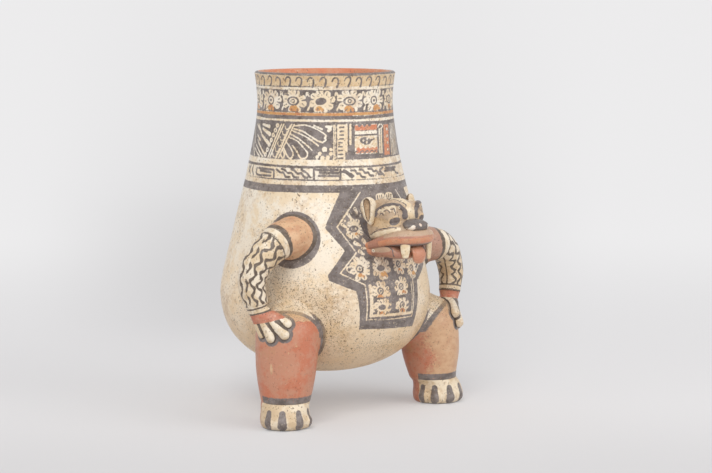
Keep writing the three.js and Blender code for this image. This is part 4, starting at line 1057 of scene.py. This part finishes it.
        # The left leg's front takes the worn tone: partly wear, partly painted light.
        slant = 11 * np.sin(z / 12 + 1) + 5 * np.sin(z / 4.3)
        worn = over(worn, (np.abs(turned_from(bearing, 8.5)) - 66.5 - slant) * 0.02)
    else:
        worn = over(worn, oval(turned_from(bearing, -72) * math.radians(27), z, (0, 58), (1.6, 5.5)))
        flecks = np.random.default_rng(8)
        for _ in range(14):
            fleck = (flecks.normal(-34, 13), flecks.normal(86, 7))
            size = flecks.uniform(0.6, 1.3)
            across_fleck = turned_from(bearing, fleck[0]) * math.radians(29)
            worn = over(worn, oval(across_fleck, z, (0, fleck[1]), (size, size * 0.7)))
    knee = outside_knee_paint(points, across, drop)
    shore = within(LEG_SHORES[side] - outside_leg(points, across, drop), 45 - z)
    edge = over(shore, within(np.abs(knee + 1.1) - 1.2, KNEE_Z - drop - z))
    dark = over(within(ring, -heel), gaps[legs[side].name][0] - 2.8, within(edge, knee - 3.2))
    # Dirt and painted shade on the top of each knee, where it meets the jar.
    soil = np.clip((z + drop - 92) / 16, 0, 1)
    paint(legs[side], dark=dark, pale=over(within(z - 24.8, -heel), -knee), worn=worn, soil=soil)

# A broad grey line runs round each leg and each shoulder on the jar itself. The corners that they
# make with the wall are darkened by dirt and by painted shade.
DIRT_AND_SHADE = (
    (48, 115, 16, 24, 0.65), (70, 136, 11, 27, 0.55), (36, 92, 14, 12, 0.35), (82, 175, 14, 30, 0.3),
    (9, 70, 20, 12, 0.5),
)
points = clay_points(jar_body)
x, y, z = points.T
turn = np.degrees(np.arctan2(x, -y))
soil = np.zeros(len(points))
for side, across, drop, arm_turn in SIDES:
    outside = outside_leg(points, across, drop)
    knee_line = within(outside - LEG_WIDTHS[side], outside_knee_paint(points, across, drop) - 3.2)
    root = np.array(around(91, 61 + arm_turn, 174.5 - 1.9 * drop, across))
    body_dark = over(body_dark, knee_line, np.linalg.norm(points - root, axis=1) - 27.2)
    # Dirt and painted shade, darkest next to each leg and in the listed patches by the arm and the leg.
    soil += np.exp(-np.maximum(outside, 0) / 15)
    for bearing, height, wide, tall, share in DIRT_AND_SHADE:
        soil += share * np.exp(-(((turn * across - bearing) / wide) ** 2) - ((z - height) / tall) ** 2)
inside = np.hypot(x, y) < wall_radius(z) - JAR_WALL / 2
soil = np.where(inside, 0, np.clip(soil, 0, 1))
paint(jar_body, dark=np.where(inside, 9, body_dark), orange=np.where(inside, 9, body_orange), soil=soil)

# The cat's head is hollow and stands out from the front of the jar. It has a flat top, a steep
# blunt face, and brows, eye mounds and cheeks that are pads of clay pressed on and smoothed over.
head = bmesh.new()
for centre, half in (
    ((0, -86, 189.5), (25, 34, 18.5)), ((0, -105, 198), (23.5, 18.5, 14.5)), ((0, -108, 183), (24, 25, 13)),
    ((0, -119, 183), (17, 16, 9)),
):
    lump(head, centre, half)
sausage(head, [(0, -98, 209), (0, -110, 209.5), (0, -118, 207), (0, -121, 196)], [4, 4, 4, 3.5])
BROW_PAD = (
    (23.5, 98, 197), (22.5, 102, 203), (20, 109, 206.5), (16.5, 115, 207.5), (11.5, 118.5, 207),
    (6, 120.5, 202),
)
for across in (-1, 1):
    for (out, forward, z), half in (
        ((14.5, 112, 196), (9, 9, 8)), ((16, 104, 184), (9.5, 20, 12)), ((15, 110, 201), (8, 10, 9)),
    ):
        lump(head, (across * out, -forward, z), half)
    brow_pad = [(across * out, -forward, z) for out, forward, z in BROW_PAD]
    sausage(head, brow_pad, [2, 2.8, 3.4, 3.6, 3.2, 2.4], 12)
head = kneaded(head, 0.9, 5)
luted(head, 7, 3, lambda co: (0, -86, 190))
painted_head = slip_material(
    "painted_head", ((0.46, 0.335, 0.225), (0.56, 0.42, 0.29)), (
        ("worn", (0.62, 0.44, 0.26), (0.5, 0.36, 0.22), 0.1),
        ("pale", (0.78, 0.67, 0.5), (0.66, 0.5, 0.31), 0.15),
        ("dark", (0.1, 0.08, 0.076), (0.19, 0.16, 0.15), 0.15),
    ),
)
head_clay = finish_piece("head_clay", head, painted_head, ["head_shell"])


def ribbon(points, line, width, end_width=None):
    """A painted line over a rounded form, alike on both sides. It's laid out in millimetres out from
    the middle, forwards and up, and each of its points is drawn to the nearest clay."""
    folded = np.column_stack((np.abs(points[:, 0]), -points[:, 1], points[:, 2]))
    laid = [folded[np.argmin(((folded - place) ** 2).sum(axis=1))] for place in bent(line)]
    widths = np.linspace(width, width if end_width is None else end_width, len(laid)) / 2
    best = np.full(len(points), 99.0)
    for start, end, half, end_half in zip(laid, laid[1:], widths, widths[1:]):
        reach, share = to_run(folded, start, end)
        best = over(best, reach - half - (end_half - half) * np.clip(share, 0, 1))
    return best


BROW = [
    (27.5, 98, 200), (26.5, 102.5, 208), (23, 109, 212), (17, 117.5, 213.5), (10.5, 122.5, 210.5),
    (8, 125.5, 203.5),
    (9, 126, 197),
]
SCALLOPS = (
    [(26, 104.4, 200.4), (26, 106.7, 202.8), (26, 110.2, 201.2)],
    [(24, 109.1, 204), (24, 113.9, 206.4), (23, 117, 204)],
    [(21, 116.4, 207), (19, 121, 207.8), (19, 124, 203.2)], [(14.5, 124, 208.3), (15, 125, 204.4)],
)
CREST = [(0, 92, 213), (0, 110, 214), (0, 119, 211), (0, 124, 203), (0, 127, 195)]
CREST_EDGE = [(5.2, 96, 213), (5.2, 112, 213.5), (5.2, 120, 210), (5.6, 125, 203), (5.6, 127, 195)]
CHEEK_BAND = [(25, 82, 169), (26, 101, 179.7), (25, 112, 183.2), (21, 119, 185.4), (17, 125, 187)]
CHEEK_LINE = [(24, 79, 169.5), (25, 85, 173.8), (26, 101, 183.2), (25, 113.8, 187.2), (20, 124, 189.5)]
CHEEK_WORN = [(23, 96, 192), (23, 108, 191), (22, 112, 190)]
EYE = [(18.4, 117, 193.8), (15.8, 120.6, 194.6)]
points = clay_points(head_clay)
forward = -points[:, 1]
dark = over(ribbon(points, BROW, 6.4, 5.4), ribbon(points, CREST_EDGE, 1.2))
pale = over(ribbon(points, CREST, 9.5), ribbon(points, CHEEK_BAND, 4.6, 3))
for line in SCALLOPS:
    scallop = ribbon(points, line, 1.9)
    pale = over(pale, scallop)
    low_line = [(out - 0.3, ahead + 0.4, z - 2.1) for out, ahead, z in line]
    dark = over(bare(dark, scallop), ribbon(points, low_line, 1))
dark = over(dark, ribbon(points, EYE, 6.6), ribbon(points, CHEEK_LINE, 1.1))
# The back of the head, where it meets the jar, is dark: partly dark slip, partly painted shade.
dark = over(dark, within(forward - 89, 20 - np.abs(points[:, 0])), forward - 79)
paint(head_clay, pale=pale, worn=over(ribbon(points, CHEEK_WORN, 9), ribbon(points, EYE, 9.6)), dark=dark)

# The upper lip is one coil of clay bent round the muzzle, thin at the corners and thick in front.
# It's pressed on to the head and slipped red, and it is dark underneath with painted shade.
LIP_STOPS = (
    (22.5, 80, 166.5, 2.8), (23.2, 90, 168.7, 3.6), (22.6, 101, 172.2, 4.6), (21.3, 112, 175.2, 5.3),
    (18.5, 122, 177.2, 6.8), (12.5, 129.5, 178.2, 7.9),
)
lip_stops = [((-out, -ahead, z), size) for out, ahead, z, size in LIP_STOPS]
lip_stops.append(((0, -132.5, 178.3), 8.1))
lip_stops += [((out, -ahead, z), size) for out, ahead, z, size in reversed(LIP_STOPS)]
lip = bmesh.new()
sausage(lip, *zip(*smooth_route(lip_stops, 6)))
lip = kneaded(lip, 0.9, 2)
painted_mouth = slip_material(
    "painted_mouth", ((0.5, 0.24, 0.155), (0.42, 0.2, 0.14)), (
        ("worn", (0.52, 0.37, 0.25), (0.45, 0.3, 0.21), 0.1),
        ("red", (0.6, 0.23, 0.12), (0.58, 0.32, 0.19), 0.2),
        ("pale", CREAM, TAN, 0.1), ("dark", (0.14, 0.11, 0.1), (0.2, 0.15, 0.13), 0.1),
    ), speckle=0.3, sheen=0.34,
)
lip_clay = finish_piece("upper_lip_clay", lip, painted_mouth, ["upper_lip"])
points = clay_points(lip_clay)
forward = -points[:, 1]
lip_height = points[:, 2] - np.interp(forward, [s[1] for s in LIP_STOPS], [s[2] for s in LIP_STOPS])
red = over(within(np.abs(lip_height + 1.8) - 2.4, 106 - forward), forward - 92)
# Painted shade under the front of the lip, where the mouth gapes.
dark = np.where(forward > 104, lip_height + 5.2, 9)
paint(lip_clay, worn=within(2.4 - lip_height, 112 - forward), red=red, dark=dark)

# The lower jaw is a thick slab that meets the lip at the corners and gapes at the front. It's luted
# to the head and slipped red, and its upper face, inside the mouth, is dark with painted shade.
JAW_STATIONS = (
    (70, 22, 161, 172), (88, 23.5, 159.5, 171), (98, 24, 158, 172), (108, 24, 157.4, 173.5),
    (116, 23.5, 157.2, 173),
    (120.5, 22.5, 157.4, 171), (124, 20.5, 157.8, 167.5), (127, 17, 158.6, 166), (129, 9, 160, 165),
)
jaw = bmesh.new()
stations = []
for forward, half, under, top in JAW_STATIONS:
    stations.append(((0, -forward, (under + top) / 2), (half, 0, 0), (0, 0, (top - under) / 2)))
tube(jaw, stations, 36, 3)
jaw = kneaded(jaw, 0.9, 3)
luted(jaw, 6, 2.5, lambda co: (0, -80, 170))
jaw_clay = finish_piece("lower_jaw_clay", jaw, painted_mouth, ["lower_jaw"])
TOOTH_MARK = [(24.5, 95.5, 164.6), (24.5, 97, 164.6)]
JAW_WORN = [(24.5, 98, 167), (24.5, 110, 167.5), (23.5, 117, 168)]
JAW_LINE = [(24.5, 96, 170.6), (24.5, 108, 172), (23.5, 116, 171.5), (22.5, 121, 167), (22, 122, 160)]
points = clay_points(jaw_clay)
dark = over(ribbon(points, TOOTH_MARK, 1.2), ribbon(points, JAW_LINE, 1.1))
# Painted shade over the jaw's upper face, inside the mouth.
dark = over(dark, within(171.5 - points[:, 2], np.abs(points[:, 0]) - 19.5))
worn, pale = ribbon(points, JAW_WORN, 7.5, 5), ribbon(points, TOOTH_MARK, 3.2)
paint(jaw_clay, worn=worn, red=-points[:, 1] - 93, pale=pale, dark=dark)

# The nose is a flat pad pressed on the end of the muzzle, with a swelling at each nostril. It's
# slipped dark, with a pale stroke on each side and a painted highlight as a pale spot in front.
nose = bmesh.new()
lump(nose, (0, -128.5, 189.5), (14, 9.5, 5.6), 0, math.radians(16))
for across in (-1, 1):
    lump(nose, (6 * across, -131, 188.8), (6.5, 6.5, 4.8))
nose = kneaded(nose, 0.8, 3)
painted_nose = slip_material(
    "painted_nose", ((0.15, 0.125, 0.115), (0.22, 0.185, 0.16)), (("pale", CREAM, (0.7, 0.5, 0.4), 0.1),),
    sheen=0.36,
)
nose_clay = finish_piece("nose_clay", nose, painted_nose, ["nose"])
points = clay_points(nose_clay)
pale = ribbon(points, [(13, 130, 186.6), (10.5, 133, 187.6), (9, 135, 188.4)], 1.4, 4.6)
# A painted highlight: a pale spot on the front of the nose.
highlight_spot = oval(points[:, 0], points[:, 2], (-1, 190.6), (1.5, 1.5))
paint(nose_clay, pale=over(pale, within(highlight_spot, points[:, 1] + 131)))

# Two fangs hang from the upper lip, and the tongue lolls between them. Each is a small roll of clay,
# flattened and pushed into the mouth before the pot was fired.
FANG_TIPS = {"right": 159.6, "left": 156.6}
FANG_ROOT = ((176, 4.4, 3.4), (170, 4.3, 3.3), (165, 3.8, 3))
fang_slip = slip_material("fang_slip", ((0.82, 0.71, 0.52), (0.72, 0.56, 0.35)), speckle=0.3, sheen=0.34)
for side, across, drop, arm_turn in SIDES:
    tip = FANG_TIPS[side]
    fang = bmesh.new()
    stations = []
    for z, wide, deep in (*FANG_ROOT, (tip + 1, 2.7, 2.2), (tip, 1.8, 1.4)):
        stations.append(((across * 15, -131, z), (wide, across * wide * 0.35, 0), (0, deep, 0)))
    tube(fang, stations, 20)
    fang = kneaded(fang, 0.6, 2)
    finish_piece(side + "_fang_clay", fang, fang_slip, [side + "_fang"])

TONGUE_STOPS = ((108, 167.5), (120, 168), (129.5, 167.5), (134, 163), (133.5, 154))
TONGUE_TIP = (0.95, 0.8, 0.5)
tongue = bmesh.new()
tongue_line = [point for point, _ in smooth_route([((0, -ahead, z), 1) for ahead, z in TONGUE_STOPS], 4)]
last = len(tongue_line) - 1
tapers = (1,) * (last - 2) + TONGUE_TIP
stations = []
for i, (point, taper) in enumerate(zip(tongue_line, tapers)):
    along = (tongue_line[min(i + 1, last)] - tongue_line[max(i - 1, 0)]).normalized()
    stations.append((point, (8 * taper, 0, 0), Vector((1, 0, 0)).cross(along) * 3.2 * taper))
tube(tongue, stations, 24)
tongue = kneaded(tongue, 0.7, 2)
tongue_slip = slip_material("tongue_slip", ((0.52, 0.23, 0.14), (0.64, 0.42, 0.28)), speckle=0.2, sheen=0.3)
finish_piece("tongue_clay", tongue, tongue_slip, ["tongue"])

# The ears are small leaf-shaped cups, wide above and narrow below, open forwards and outwards. Each
# is a lump of clay, hollowed with a fingertip and luted to the side of the head.
EAR_FOOT, EAR_RISE, EAR_TURN, CUP_SHIFT, CUP_Z = 190, 22, 38, 2.2, 203
painted_ear = slip_material(
    "painted_ear", ((0.76, 0.65, 0.5), (0.66, 0.52, 0.34)), (
        ("worn", (0.6, 0.44, 0.28), (0.46, 0.32, 0.2), 0.1),
        ("dark", (0.15, 0.11, 0.08), (0.24, 0.17, 0.12), 0.1),
    ),
)
for side, across, drop, arm_turn in SIDES:
    ear = bmesh.new()
    turn = across * math.radians(EAR_TURN)
    high, low = Vector((across * 27, -93, 206)), Vector((across * 26.5, -95.5, 195))
    lump(ear, high, (7.8, 5, 9.2), turn)
    lump(ear, high.lerp(low, 0.5), (6.6, 4.8, 9), turn)
    lump(ear, low, (3.8, 4, 6.5), turn)
    ear = kneaded(ear, 0.7, 2)
    front = around(1, EAR_TURN, 0, across)
    sideways = Vector((math.cos(turn), math.sin(turn), 0))

    def ear_cup(points):
        """How far out of the cup each point lies, where 1 is the cup's edge, and how far forwards."""
        z = points[:, 2]
        share = np.clip((z - EAR_FOOT) / EAR_RISE, 0, 1)
        local = points - np.array(low) - share[:, None] * np.array(high - low)
        wide = (local @ np.array(sideways) - across * CUP_SHIFT) / (1.3 + 2.5 * share)
        return np.hypot(wide, np.maximum(np.abs(z - CUP_Z) - 4, 0) / 7), local @ np.array(front)

    for vert, cup, ahead in zip(ear.verts, *ear_cup(np.array([vert.co for vert in ear.verts], float))):
        if ahead > 0 and cup < 1:
            vert.co -= front * (ahead + 1.5) * (1 - cup**3)
    smoothed(ear, 2)
    ear_clay = finish_piece(side + "_ear_clay", ear, painted_ear, [side + "_ear"])
    cup, ahead = ear_cup(clay_points(ear_clay))
    dark = within(np.abs(cup - 0.9) * 4 - 0.5, -3 - ahead)
    if side == "left":
        dark = over(dark, ahead + 1)
    paint(ear_clay, worn=within((cup - 0.85) * 4, -3 - ahead), dark=dark)

# The loose pellets are balls of plain fired clay, shut inside the legs and the tail. Their shapes
# are the CAD's own, and only the clay is set here.
bare_clay = slip_material("bare_clay", ((0.42, 0.22, 0.13), (0.34, 0.17, 0.1)), sheen=0.8)
for name in ("right_leg_pellet", "left_leg_pellet", "tail_pellet"):
    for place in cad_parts[name].material_slots:
        place.link = "OBJECT"
        place.material = bare_clay
